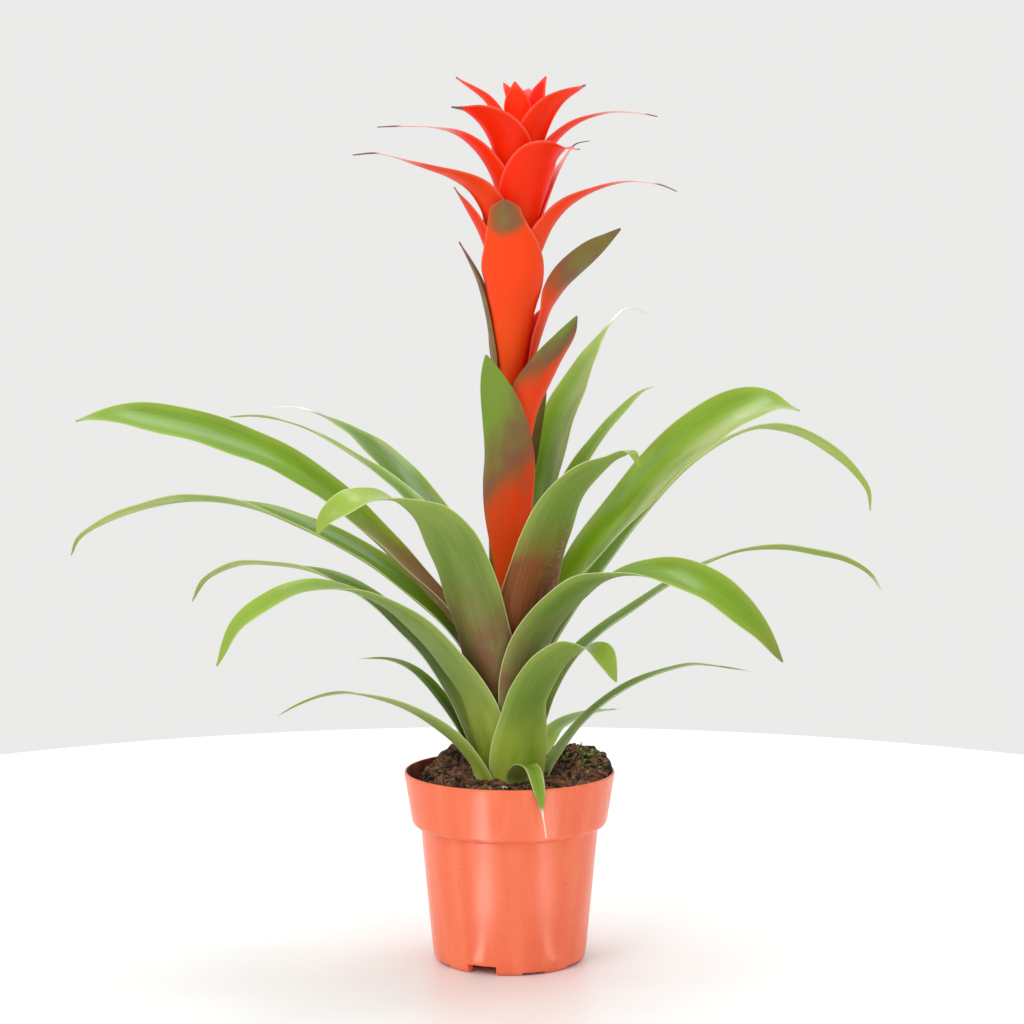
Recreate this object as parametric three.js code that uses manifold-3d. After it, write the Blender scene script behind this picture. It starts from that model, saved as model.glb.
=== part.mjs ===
// Potted bromeliad: a scarlet-flowering bromeliad rosette in a 12 cm moulded plant pot.
// Millimetres, +Z up. The origin is the centre of the pot's foot, on the surface it stands on.
// Azimuths are in degrees from +X, counter-clockwise seen from above; -90 faces the front.

import * as THREE from 'three';
import { mergeVertices } from 'three/addons/utils/BufferGeometryUtils.js';
import Module from 'manifold-3d';

const wasm = await Module();
wasm.setup();

const { degToRad, clamp, lerp, smoothstep } = THREE.MathUtils;

// ---------------------------------------------------------------- driving dimensions

const POT_HEIGHT = 108;
const RIM_RADIUS = 60;
const BAND_FOOT = { radius: 56, height: 82 };     // lower edge of the broad rim band
const SHOULDER = { radius: 54.2, height: 77.8 };  // the step in under the band is nearly flat up to here
const BODY_TOP = { radius: 50.6, height: 76 };    // where the tapered body starts
const BODY_FOOT = { radius: 44, height: 6 };      // where the body rounds into the foot
const FOOT_RADIUS = 41.5;
const FOOT_RING_WIDTH = 3.5;
const POT_WALL = 1.2;
const FLOOR_UNDERSIDE = 4;
const CENTRE_FOOT_RADIUS = 12;                    // flat boss the pot also stands on
const FOOT_NOTCHES = 9;
const FIRST_NOTCH_AZIMUTH = -151;

const SOIL_LEVEL = 104;
const FIT = 0.3;                                  // gap between touching pieces

const CROWN_BASE = 68;                            // underside of the plant's short root crown
const CROWN_RADIUS = 6.5;
const SCAPE_TOP = 462;
const HEAD_LEAN = 6;                              // how far the flower head leans towards +X
const LEAN_FROM = 310;
const LEAN_TO = 480;

const BLADE_THICKNESS = 0.7;
const TIP_WIDTH = 1.4;
const OUTER_RING = 22.5;                          // radius of the outermost ring of leaf sheaths
const RING_STEP = 1.5;                            // each later ring stands this much further in
const RING_RISE = 3.3;                            // and is attached this much higher
const OUTER_ATTACH = 78;
const OUTER_SHEATH_TOP = 105;
const SHEATH_START_RADIUS = CROWN_RADIUS + 2 * FIT;

// ---------------------------------------------------------------- shared helpers

const UP = new THREE.Vector3(0, 0, 1);

function toSolid(geometry) {
  const bare = geometry.index ? geometry : geometry.clone();
  bare.deleteAttribute('normal');
  bare.deleteAttribute('uv');
  const merged = mergeVertices(bare, 1e-4);
  return new wasm.Manifold(new wasm.Mesh({
    numProp: 3,
    vertProperties: new Float32Array(merged.attributes.position.array),
    triVerts: new Uint32Array(merged.index.array),
  }));
}

function toGeometry(solid) {
  const mesh = solid.getMesh();
  const geometry = new THREE.BufferGeometry();
  geometry.setAttribute('position', new THREE.BufferAttribute(mesh.vertProperties, 3));
  geometry.setIndex(new THREE.BufferAttribute(mesh.triVerts, 1));
  geometry.computeVertexNormals();
  return geometry;
}

// A LatheGeometry turns about Y; this stands it up about Z with its faces pointing out.
function turned(profile, segments) {
  const points = profile.map(([radius, height]) => new THREE.Vector2(radius, height));
  return new THREE.LatheGeometry(points, segments).rotateX(Math.PI / 2);
}

// A smooth curve through [position, value] knots, as a cubic with finite-difference slopes.
function through(knots, x) {
  const last = knots.length - 1;
  if (x <= knots[0][0]) return knots[0][1];
  if (x >= knots[last][0]) return knots[last][1];
  let i = 0;
  while (x > knots[i + 1][0]) i += 1;
  const slope = (k) => {
    const a = knots[Math.max(k - 1, 0)];
    const b = knots[Math.min(k + 1, last)];
    return (b[1] - a[1]) / (b[0] - a[0]);
  };
  const [x0, y0] = knots[i];
  const [x1, y1] = knots[i + 1];
  const span = x1 - x0;
  const t = (x - x0) / span;
  return y0 * (1 + 2 * t) * (1 - t) ** 2 + slope(i) * span * t * (1 - t) ** 2
    + y1 * t * t * (3 - 2 * t) + slope(i + 1) * span * t * t * (t - 1);
}

// Repeatable random numbers between 0 and 1.
function seededRandom(seed) {
  let state = seed;
  return () => {
    state = (state * 1664525 + 1013904223) % 4294967296;
    return state / 4294967296;
  };
}

// The head of the plant leans a little; everything on the scape shares this shift along +X.
const leanAt = (height) => HEAD_LEAN * smoothstep(height, LEAN_FROM, LEAN_TO);

function leanWithHead(geometry) {
  const position = geometry.attributes.position;
  for (let i = 0; i < position.count; i += 1) {
    position.setX(i, position.getX(i) + leanAt(position.getZ(i)));
  }
  return geometry;
}

// ---------------------------------------------------------------- pot

const wallRadiusAt = (height) => lerp(
  BODY_FOOT.radius, BODY_TOP.radius,
  (height - BODY_FOOT.height) / (BODY_TOP.height - BODY_FOOT.height),
);

// Drain notches are tall and cut through the foot ring; the ones between them only lift its edge.
const DRAIN_NOTCH = { width: 16, height: 5.4 };
const LOW_NOTCH = { width: 13, height: 1.6 };

function footNotch(azimuth, { width, height }) {
  const depth = 12;
  const notch = new THREE.BoxGeometry(depth, width, height * 2);
  notch.translate(FOOT_RADIUS + 1, 0, 0);
  return toSolid(notch.rotateZ(degToRad(azimuth)));
}

function potGeometry() {
  const lip = 0.5;
  const innerFloor = FLOOR_UNDERSIDE + POT_WALL;
  const innerFoot = BODY_FOOT.height + 3;
  const segments = 36;
  const profile = [
    [0, 0],
    [CENTRE_FOOT_RADIUS, 0],
    [CENTRE_FOOT_RADIUS, FLOOR_UNDERSIDE],
    [FOOT_RADIUS - FOOT_RING_WIDTH, FLOOR_UNDERSIDE],
    [FOOT_RADIUS - FOOT_RING_WIDTH + 0.5, 0],
    [FOOT_RADIUS, 0],
    [FOOT_RADIUS + 1.8, 2],
    [BODY_FOOT.radius, BODY_FOOT.height],
    [BODY_TOP.radius, BODY_TOP.height],
    [SHOULDER.radius, SHOULDER.height],
    [BAND_FOOT.radius, BAND_FOOT.height],
    [RIM_RADIUS, POT_HEIGHT - lip],
    [RIM_RADIUS - lip, POT_HEIGHT],
    [RIM_RADIUS - POT_WALL - 0.2, POT_HEIGHT - 0.1],
    [BAND_FOOT.radius - POT_WALL, BAND_FOOT.height + 0.6],
    [BODY_TOP.radius - POT_WALL, BODY_TOP.height + 0.2],
    [wallRadiusAt(innerFoot) - POT_WALL, innerFoot],
    [FOOT_RADIUS, innerFloor],
    [0, innerFloor],
  ];
  let pot = toSolid(turned(profile, segments));
  for (let k = 0; k < FOOT_NOTCHES; k += 1) {
    const azimuth = FIRST_NOTCH_AZIMUTH + (k * 360) / FOOT_NOTCHES;
    pot = pot.subtract(footNotch(azimuth, k % 3 === 1 ? DRAIN_NOTCH : LOW_NOTCH));
  }
  return toGeometry(pot);
}

// ---------------------------------------------------------------- soil

const GOLDEN_TURN = 137.5;                        // degrees between one crumb and the next

const sheathRing = (ring) => ({
  radius: OUTER_RING - ring * RING_STEP,
  attach: OUTER_ATTACH + ring * RING_RISE,
  top: OUTER_SHEATH_TOP + ring * RING_RISE,
});

// Uneven peat: lower at the left, heaped against the wall at the back and the right.
function soilHeight(azimuth, radius) {
  const heap = (centre, spread, rise) => {
    const turn = Math.abs(((azimuth - centre + 540) % 360) - 180);
    return rise * Math.exp(-((turn / spread) ** 2));
  };
  const ripple = 0.7 * Math.sin(degToRad(azimuth) * 5 + radius * 0.22)
    + 0.6 * Math.cos(degToRad(azimuth) * 9 - radius * 0.35);
  return SOIL_LEVEL + ripple
    + smoothstep(radius, 30, 50) * (heap(45, 40, 9) + heap(8, 22, 4.5) + heap(126, 20, 10))
    - smoothstep(radius, 42, 54) * heap(188, 44, 9);
}

function soilGeometry() {
  const segments = 32;
  const crumbs = 30;
  const wallTop = POT_HEIGHT - 7;
  const topRadii = [51, 45, 38, 31];
  const lowestCorner = BODY_FOOT.height + 4;
  const inside = (height) => (height < BODY_TOP.height
    ? wallRadiusAt(height) - POT_WALL - FIT
    : lerp(BODY_TOP.radius, RIM_RADIUS, (height - BODY_TOP.height) / (POT_HEIGHT - BODY_TOP.height))
      - POT_WALL - FIT - 0.4);
  const clear = 0.8 + BLADE_THICKNESS / 2;
  const pitEdge = OUTER_RING + clear;
  const pitFloor = CROWN_BASE - FIT;
  const sheath = sheathRing(0);
  const pitWall = [0.62, 0.86, 1].map((share) => {
    const turn = Math.acos(share);
    return [
      lerp(SHEATH_START_RADIUS, OUTER_RING, Math.sin(turn)) + clear,
      sheath.top - (sheath.top - sheath.attach) * Math.cos(turn) - 0.6,
    ];
  });
  const floor = FLOOR_UNDERSIDE + POT_WALL + FIT;

  // Rows of points from the middle of the underside, up the wall, over the top and into the pit.
  const rows = [
    () => [0, floor],
    () => [FOOT_RADIUS - 1.2, floor],
    () => [inside(lowestCorner), lowestCorner],
    () => [BODY_TOP.radius - POT_WALL - 0.5, BODY_TOP.height],
    () => [BAND_FOOT.radius - POT_WALL - 0.5, BAND_FOOT.height + 1.4],
    (azimuth) => [inside(wallTop) - 0.6, Math.min(soilHeight(azimuth, RIM_RADIUS) - 1, wallTop + 3)],
    ...topRadii.map((radius) => (azimuth) => [radius, soilHeight(azimuth, radius)]),
    (azimuth) => [pitEdge, soilHeight(azimuth, pitEdge) - 1],
    ...pitWall.map(([radius, height]) => () => [radius, height]),
    () => [CROWN_RADIUS + 0.5, pitWall[2][1] - 1.5],
    () => [CROWN_RADIUS + 0.5, pitFloor],
    () => [0, pitFloor],
  ];
  const position = [];
  rows.forEach((row, i) => {
    const onAxis = i === 0 || i === rows.length - 1;
    for (let j = 0; j < (onAxis ? 1 : segments); j += 1) {
      const azimuth = (j * 360) / segments;
      const [radius, height] = row(azimuth);
      position.push(
        radius * Math.cos(degToRad(azimuth)), radius * Math.sin(degToRad(azimuth)), height,
      );
    }
  });
  const at = (i, j) => 1 + (i - 1) * segments + (j % segments);
  const end = position.length / 3 - 1;
  const index = [];
  for (let j = 0; j < segments; j += 1) {
    index.push(0, at(1, j + 1), at(1, j));
    for (let i = 1; i < rows.length - 2; i += 1) {
      index.push(at(i, j), at(i, j + 1), at(i + 1, j + 1));
      index.push(at(i, j), at(i + 1, j + 1), at(i + 1, j));
    }
    index.push(at(rows.length - 2, j), at(rows.length - 2, j + 1), end);
  }
  const geometry = new THREE.BufferGeometry();
  geometry.setAttribute('position', new THREE.Float32BufferAttribute(position, 3));
  geometry.setIndex(index);

  // Coarse crumbs and bark chips, each sunk by half into the surface.
  const random = seededRandom(20);
  let soil = toSolid(geometry);
  for (let k = 0; k < crumbs; k += 1) {
    const azimuth = k * GOLDEN_TURN + random() * 20;
    const radius = lerp(30, 53, Math.sqrt(random()));
    const size = lerp(1.8, 3.6, random());
    const crumb = new THREE.OctahedronGeometry(size, 0);
    crumb.scale(1, lerp(0.6, 1, random()), 0.75);
    crumb.rotateX(random() * Math.PI);
    crumb.rotateZ(random() * Math.PI);
    crumb.translate(
      radius * Math.cos(degToRad(azimuth)), radius * Math.sin(degToRad(azimuth)),
      soilHeight(azimuth, radius) + size * 0.15,
    );
    soil = soil.add(toSolid(crumb));
  }
  return toGeometry(soil);
}

// ---------------------------------------------------------------- stem

const stemRadiusAt = (height) => through(
  [[112, CROWN_RADIUS], [130, 5.6], [230, 5], [330, 4.3], [400, 3.5], [450, 2.4], [SCAPE_TOP, 1.2]],
  height,
);

function stemGeometry() {
  const heights = [112, 121, 130, 180, 230, 280, 330, 365, 400, 430, 450];
  const profile = [
    [0, CROWN_BASE],
    [CROWN_RADIUS, CROWN_BASE],
    ...heights.map((height) => [stemRadiusAt(height), height]),
    [0, SCAPE_TOP],
  ];
  const segments = 12;
  return leanWithHead(toGeometry(toSolid(turned(profile, segments))));
}

// ---------------------------------------------------------------- blades

// Widths along the free part of a blade, as shares of its greatest width.
const STRAP = [[0, 0.86], [0.2, 0.97], [0.42, 1], [0.66, 0.9], [0.84, 0.62], [0.95, 0.26], [1, 0.05]];
const LANCE = [[0, 0.84], [0.22, 1], [0.48, 0.88], [0.7, 0.56], [0.84, 0.2], [0.93, 0.08], [1, 0.05]];
const TAILED = [[0, 0.84], [0.22, 0.97], [0.46, 1], [0.62, 0.82], [0.74, 0.42], [0.82, 0.12], [1, 0.05]];
const BLUNT = [[0, 0.84], [0.2, 0.96], [0.5, 1], [0.75, 0.98], [0.88, 0.86], [0.95, 0.56], [1, 0.08]];
const BOAT = [[0, 0.96], [0.3, 1], [0.58, 0.95], [0.78, 0.76], [0.92, 0.38], [1, 0.06]];
const HOOD = [[0, 0.96], [0.2, 1], [0.38, 0.95], [0.5, 0.82], [0.67, 0.6], [0.82, 0.44], [0.93, 0.34],
  [1, 0.1]];
const PETAL = [[0, 0.94], [0.3, 1], [0.55, 0.88], [0.78, 0.56], [0.92, 0.24], [1, 0.07]];
const OVATE = [[0, 0.9], [0.25, 1], [0.45, 0.92], [0.7, 0.66], [0.85, 0.42], [0.95, 0.18], [1, 0.05]];
const RIBBON = [[0, 0.84], [0.22, 1], [0.5, 0.8], [0.72, 0.56], [0.86, 0.4], [0.94, 0.18], [1, 0.05]];
const SPEAR = [[0, 0.96], [0.2, 1], [0.42, 0.8], [0.6, 0.42], [0.76, 0.14], [0.88, 0.07], [1, 0.05]];

/*
 * The middle surface of one blade, rows from its base to its tip and columns across it.
 * Its rib is a curve through [outwards, height, sideways] points. The sheath part wraps the plant's
 * axis, so sheaths nest inside each other; the free part is a channel of radius `dish` about its rib,
 * turned about the rib by `roll` degrees. Over `parting` mm one becomes the other.
 */
function bladeRows(blade, rows, columns) {
  const { rib, sheathPoints, sheathRadius, wrap, wide, shape, dish, roll, parting } = blade;
  const curve = new THREE.CatmullRomCurve3(
    rib.map(([out, height, side = 0]) => new THREE.Vector3(out, side, height)), false, 'centripetal',
  );
  const length = curve.getLength();
  const sheathEnd = curve.getLengths(200)[Math.round((200 * (sheathPoints - 1)) / (rib.length - 1))];
  const grid = [];
  for (let i = 0; i <= rows; i += 1) {
    const along = i / rows - 0.06 * Math.sin((2 * Math.PI * i) / rows);
    const travelled = along * length;
    const free = clamp((travelled - sheathEnd) / (length - sheathEnd), 0, 1);
    const parted = smoothstep(travelled, sheathEnd, sheathEnd + parting);
    const rim = curve.getPointAt(along);
    const tangent = curve.getTangentAt(along);
    const across = new THREE.Vector3(0, 1, 0).addScaledVector(tangent, -tangent.y).normalize();
    across.applyAxisAngle(tangent, degToRad(roll ? through(roll, free) : 0));
    const inner = tangent.clone().cross(across);
    const width = Math.max(TIP_WIDTH, wide * through(shape, free));
    const bend = through([[0, sheathRadius], [0.45, dish], [1, dish * 1.25]], free);
    const row = [];
    for (let j = 0; j <= columns; j += 1) {
      const v = (2 * j) / columns - 1;
      const wrapped = rim.clone().applyAxisAngle(UP, v * degToRad(wrap));
      const turn = (v * width) / (2 * bend);
      const channel = rim.clone()
        .addScaledVector(across, bend * Math.sin(turn))
        .addScaledVector(inner, bend * (1 - Math.cos(turn)));
      row.push(wrapped.lerp(channel, parted));
    }
    grid.push(row);
  }
  return grid;
}

// A closed solid of even thickness about a grid of middle points, both faces split alike.
function slab(grid, thickness) {
  const rows = grid.length;
  const columns = grid[0].length;
  const pick = (i, j) => grid[clamp(i, 0, rows - 1)][clamp(j, 0, columns - 1)];
  const position = [];
  for (const side of [1, -1]) {
    for (let i = 0; i < rows; i += 1) {
      for (let j = 0; j < columns; j += 1) {
        const along = pick(i + 1, j).clone().sub(pick(i - 1, j));
        const across = pick(i, j + 1).clone().sub(pick(i, j - 1));
        const normal = along.cross(across).normalize();
        const point = pick(i, j).clone().addScaledVector(normal, (side * thickness) / 2);
        position.push(...point.toArray());
      }
    }
  }
  const face = (side, i, j) => side * rows * columns + i * columns + j;
  const index = [];
  const quad = (a, b, c, d) => index.push(a, b, c, a, c, d);
  for (let i = 0; i < rows - 1; i += 1) {
    for (let j = 0; j < columns - 1; j += 1) {
      index.push(face(0, i, j), face(0, i + 1, j), face(0, i + 1, j + 1));
      index.push(face(0, i, j), face(0, i + 1, j + 1), face(0, i, j + 1));
      index.push(face(1, i, j), face(1, i + 1, j + 1), face(1, i + 1, j));
      index.push(face(1, i, j), face(1, i, j + 1), face(1, i + 1, j + 1));
    }
    quad(face(0, i, 0), face(1, i, 0), face(1, i + 1, 0), face(0, i + 1, 0));
    const e = columns - 1;
    quad(face(0, i, e), face(0, i + 1, e), face(1, i + 1, e), face(1, i, e));
  }
  for (let j = 0; j < columns - 1; j += 1) {
    quad(face(0, 0, j), face(0, 0, j + 1), face(1, 0, j + 1), face(1, 0, j));
    const e = rows - 1;
    quad(face(0, e, j), face(1, e, j), face(1, e, j + 1), face(0, e, j + 1));
  }
  const geometry = new THREE.BufferGeometry();
  geometry.setAttribute('position', new THREE.Float32BufferAttribute(position, 3));
  geometry.setIndex(index);
  geometry.computeVertexNormals();
  return geometry;
}

// ---------------------------------------------------------------- leaves

/*
 * ring: which ring of sheaths, 0 the outermost; wrap: half of the turn that its sheath takes round the
 * plant; wide: greatest width; free: [outwards, height, sideways] points of the rib above the sheath;
 * roll: turn of the blade about its rib, as [share of the free length, degrees].
 */
const LEAVES = [
  { name: 'leaf_01', azimuth: 232, ring: 0, wrap: 15, wide: 14, shape: LANCE, dish: 13,
    free: [[28.5, 122, -9], [40, 135.5, -19], [53.5, 146, -29], [69.4, 153.5, -38], [85.6, 158, -46],
      [98, 157.4, -54], [110, 153.4, -61], [120, 145.5, -71]] },
  { name: 'leaf_02', azimuth: 11, ring: 0, wrap: 24, wide: 15, shape: LANCE, dish: 14,
    free: [[35, 125], [47, 138], [62, 149], [77, 157], [95, 163], [110, 165.3], [137, 161.5],
      [147, 159.5]] },
  { name: 'leaf_03', azimuth: -80, ring: 0, wrap: 14, wide: 9, shape: TAILED, dish: 8,
    free: [[30, 112, 0], [38, 117, 1], [47, 118.5, 2.5], [55, 116.5, 4], [60.5, 108, 5.6],
      [62.5, 96, 7.2], [63.5, 82, 9.2]] },
  { name: 'leaf_04', azimuth: 105, ring: 0, wrap: 34, wide: 15, shape: LANCE, dish: 14,
    free: [[34, 124], [48, 138], [66, 150], [88, 158], [108, 156], [122, 149]] },
  { name: 'leaf_05', azimuth: 56, ring: 1, wrap: 22, wide: 13, shape: LANCE, dish: 14,
    free: [[28, 114.5], [40, 121.5], [55, 126], [75, 128.5], [96, 128.3], [119, 126.5], [134, 124.5]] },
  { name: 'leaf_06', azimuth: -72, ring: 1, wrap: 50, wide: 27, shape: STRAP, dish: 17,
    free: [[24, 122], [28, 136], [35, 151], [44, 165, 4], [55, 177.5, 10], [68, 186, 18],
      [80, 184.5, 26], [87, 169.5, 32]] },
  { name: 'leaf_07', azimuth: 224, ring: 3, wrap: 39, wide: 31, shape: OVATE, dish: 26,
    roll: [[0, 0], [0.35, -2], [0.55, -8], [0.8, -12], [1, -16]],
    free: [[21.5, 128, 0], [29, 148, 1], [42, 168, -3], [58, 187.5, -8], [73, 202.5, -15],
      [87, 211.5, -21], [103, 217.5, -25], [122, 219, -30.5], [138, 215.5, -35],
      [158, 201, -45], [167, 179, -51.5]] },
  { name: 'leaf_08', azimuth: 170, ring: 1, wrap: 36, wide: 15.5, shape: LANCE, dish: 14,
    roll: [[0, 0], [0.5, -12], [1, -10]],
    free: [[25, 122], [31, 133.5], [39, 145.5], [48, 156.5], [58, 165], [70, 169.8], [89, 169.5]] },
  { name: 'leaf_09', azimuth: -52, ring: 3, wrap: 38, wide: 31, shape: STRAP, dish: 22,
    roll: [[0, 0], [0.35, -4], [0.48, 0], [0.6, 13], [0.75, 24], [1, 18]],
    free: [[19, 130, -3], [22, 146, -7], [27, 165, -10], [35, 183, -9.5], [45, 198, -5],
      [57, 210.5, 0], [69, 219.5, 5], [85, 225.5, 10], [103, 228, 15.7], [119, 226.5, 22.8],
      [133, 221, 31.5], [144, 212, 39], [153, 200, 48], [161, 183, 57]] },
  { name: 'leaf_10', azimuth: 95, ring: 2, wrap: 34, wide: 22, shape: STRAP, dish: 20,
    free: [[23, 130], [30, 150], [42, 171], [58, 190], [78, 204], [101, 212], [126, 212], [150, 203],
      [168, 188]] },
  { name: 'leaf_11', azimuth: 165, ring: 2, wrap: 32, wide: 21, shape: STRAP, dish: 18,
    roll: [[0, 0], [0.4, -8], [0.55, -6], [0.68, 8], [1, 16]],
    free: [[24.5, 126], [34, 147], [47, 168], [63, 185], [79, 199.5], [98, 211], [120, 218.5],
      [144.7, 221.5], [166.6, 220.5], [185.6, 211.5], [194, 198.5]] },
  { name: 'leaf_12', azimuth: 26, ring: 4, wrap: 34, wide: 17, shape: RIBBON, dish: 15,
    roll: [[0, 0], [0.5, -10], [0.75, -24], [1, -22]],
    free: [[20, 132], [28, 151], [41, 169.5], [58, 183], [79, 195], [99, 206.3], [126, 219],
      [153, 226.5], [181, 227.5], [210, 223], [232, 217], [247, 208.7], [258, 194.5]] },
  { name: 'leaf_13', azimuth: -116, ring: 4, wrap: 56, wide: 38, shape: STRAP, dish: 24,
    roll: [[0, 0], [0.5, 4], [0.7, -6], [1, -24]],
    free: [[18, 140, 0], [24.5, 160, -0.5], [36, 183, -0.5], [48, 206, -0.5], [62, 228, -1],
      [80, 247.4, -1], [100, 262, -4.5], [122, 270, -11], [138, 270, -22], [147, 262, -32.5],
      [149, 252.5, -37]] },
  { name: 'leaf_14', azimuth: 23, ring: 6, wrap: 32, wide: 22, shape: OVATE, dish: 18,
    roll: [[0, 0], [0.6, -10], [1, -34]],
    free: [[14, 148], [20, 167], [35, 191], [55, 217], [81.5, 248], [113.6, 278.5],
      [146, 296.5], [163, 300.5], [180, 299], [197, 293.5], [213.6, 284], [227, 273],
      [236.5, 261], [238, 249]] },
  { name: 'leaf_15', azimuth: 167, ring: 5, wrap: 44, wide: 25, shape: STRAP, dish: 17,
    roll: [[0, 0], [0.2, -12], [0.5, -10], [0.7, 10], [1, 14]],
    free: [[15.6, 145], [21, 167], [34, 187], [52.6, 203.5], [76, 221], [100, 234.5], [124.4, 245],
      [148.7, 253.5], [173, 258], [198, 258], [223, 253], [248.4, 244], [262.6, 234.5],
      [267, 225]] },
  { name: 'leaf_16', azimuth: -64, ring: 5, wrap: 44, wide: 40, shape: OVATE, dish: 24,
    free: [[15.8, 145, -1], [20, 165, -2.5], [28, 187, -3.5], [36, 209, -3.2], [44, 227, -2.2],
      [52, 243.5, -1.5], [62, 260, 0], [76, 275, 3], [92, 285.5, 7.3], [106, 291, 10],
      [118, 294.5, 12.5], [125.5, 286.5, 14]] },
  { name: 'leaf_17', azimuth: 45, ring: 8, wrap: 22, wide: 21, shape: RIBBON, dish: 16,
    free: [[11.2, 150], [14.2, 184], [22, 214], [36, 250], [59, 281], [75, 296],
      [93, 310], [110, 321], [127, 326]] },
  { name: 'leaf_18', azimuth: 8, ring: 7, wrap: 40, wide: 35, shape: BLUNT, dish: 24,
    roll: [[0, 0], [0.2, 2], [0.45, 22], [0.7, 38], [0.9, 36], [1, 14]],
    free: [[12.6, 150], [16.5, 172], [24, 192], [36, 212.5], [52, 236], [70, 256.5],
      [87, 276.5], [109, 297], [132, 311.5], [151, 316.5], [168, 312]] },
  { name: 'leaf_19', azimuth: 186, ring: 6, wrap: 52, wide: 31, shape: BLUNT, dish: 24,
    roll: [[0, 0], [0.2, -6], [0.4, -18], [0.6, -30], [0.88, -34], [1, -12]],
    free: [[13.9, 150], [20.6, 176], [37, 199], [60, 224.5], [84.4, 249.5], [106.7, 268.5],
      [129, 283], [151, 293], [173, 301], [195, 306.5], [217, 310], [232, 309.5], [241, 307.5]] },
  { name: 'leaf_20', azimuth: 142, ring: 8, wrap: 34, wide: 22, shape: RIBBON, dish: 16,
    roll: [[0, 0], [0.5, 4], [0.7, 14], [1, 16]],
    free: [[11, 155], [13.5, 178], [21, 198], [35, 219], [55, 242], [77, 261], [96, 272.5],
      [112, 280.5], [130, 288.5], [153, 297.5], [176, 303], [200, 305.5], [222, 304.5]] },
  { name: 'leaf_21', azimuth: 57, ring: 9.3, wrap: 18, wide: 29, shape: TAILED, dish: 19,
    free: [[9.3, 152], [12.2, 190], [22, 235.4], [35, 269], [50, 299], [70, 325], [92, 348],
      [112, 363], [129, 371], [143, 371.5], [158, 368.5]] },
  { name: 'leaf_22', azimuth: 128, ring: 7, wrap: 40, wide: 29, shape: TAILED, dish: 21,
    free: [[12.6, 152], [16, 172], [22, 188], [36, 206], [55, 225], [74, 245], [95, 261],
      [119, 277], [151, 293], [184, 303], [217, 309], [250, 309]] },
  { name: 'leaf_23', azimuth: 106, ring: 10, wrap: 16, wide: 18, shape: STRAP, dish: 20,
    free: [[7.7, 165], [10, 200], [15, 235], [22, 262, -2], [34, 285, -8], [50, 299, -16],
      [68, 303, -24]] },
];

function leafGeometry(leaf) {
  const { radius, attach, top } = sheathRing(leaf.ring);
  const sheath = [0, 30, 60, 90].map((turn) => [
    lerp(SHEATH_START_RADIUS, radius, Math.sin(degToRad(turn))),
    lerp(top, attach, Math.cos(degToRad(turn))),
  ]);
  const broad = leaf.wide > 24;
  const grid = bladeRows({
    ...leaf,
    rib: [...sheath, ...leaf.free],
    sheathPoints: sheath.length,
    sheathRadius: radius,
    parting: broad ? 45 : 34,
  }, broad ? 12 : 11, broad ? 6 : 4);
  return slab(grid, BLADE_THICKNESS).rotateZ(degToRad(leaf.azimuth));
}

// ---------------------------------------------------------------- bracts

/*
 * attach: height on the scape; the lower part of each bract clasps the scape and flares evenly, so later
 * bracts stand inside earlier ones; free: rib points where it has left that flare.
 */
const FLARE = 0.33;
const FLARE_POWER = 0.87;
const flareAt = (rise) => FIT + BLADE_THICKNESS / 2 + FLARE * rise ** FLARE_POWER;

const LEAFY = 'leafy bract';
const SCARLET = 'scarlet bract';

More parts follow.
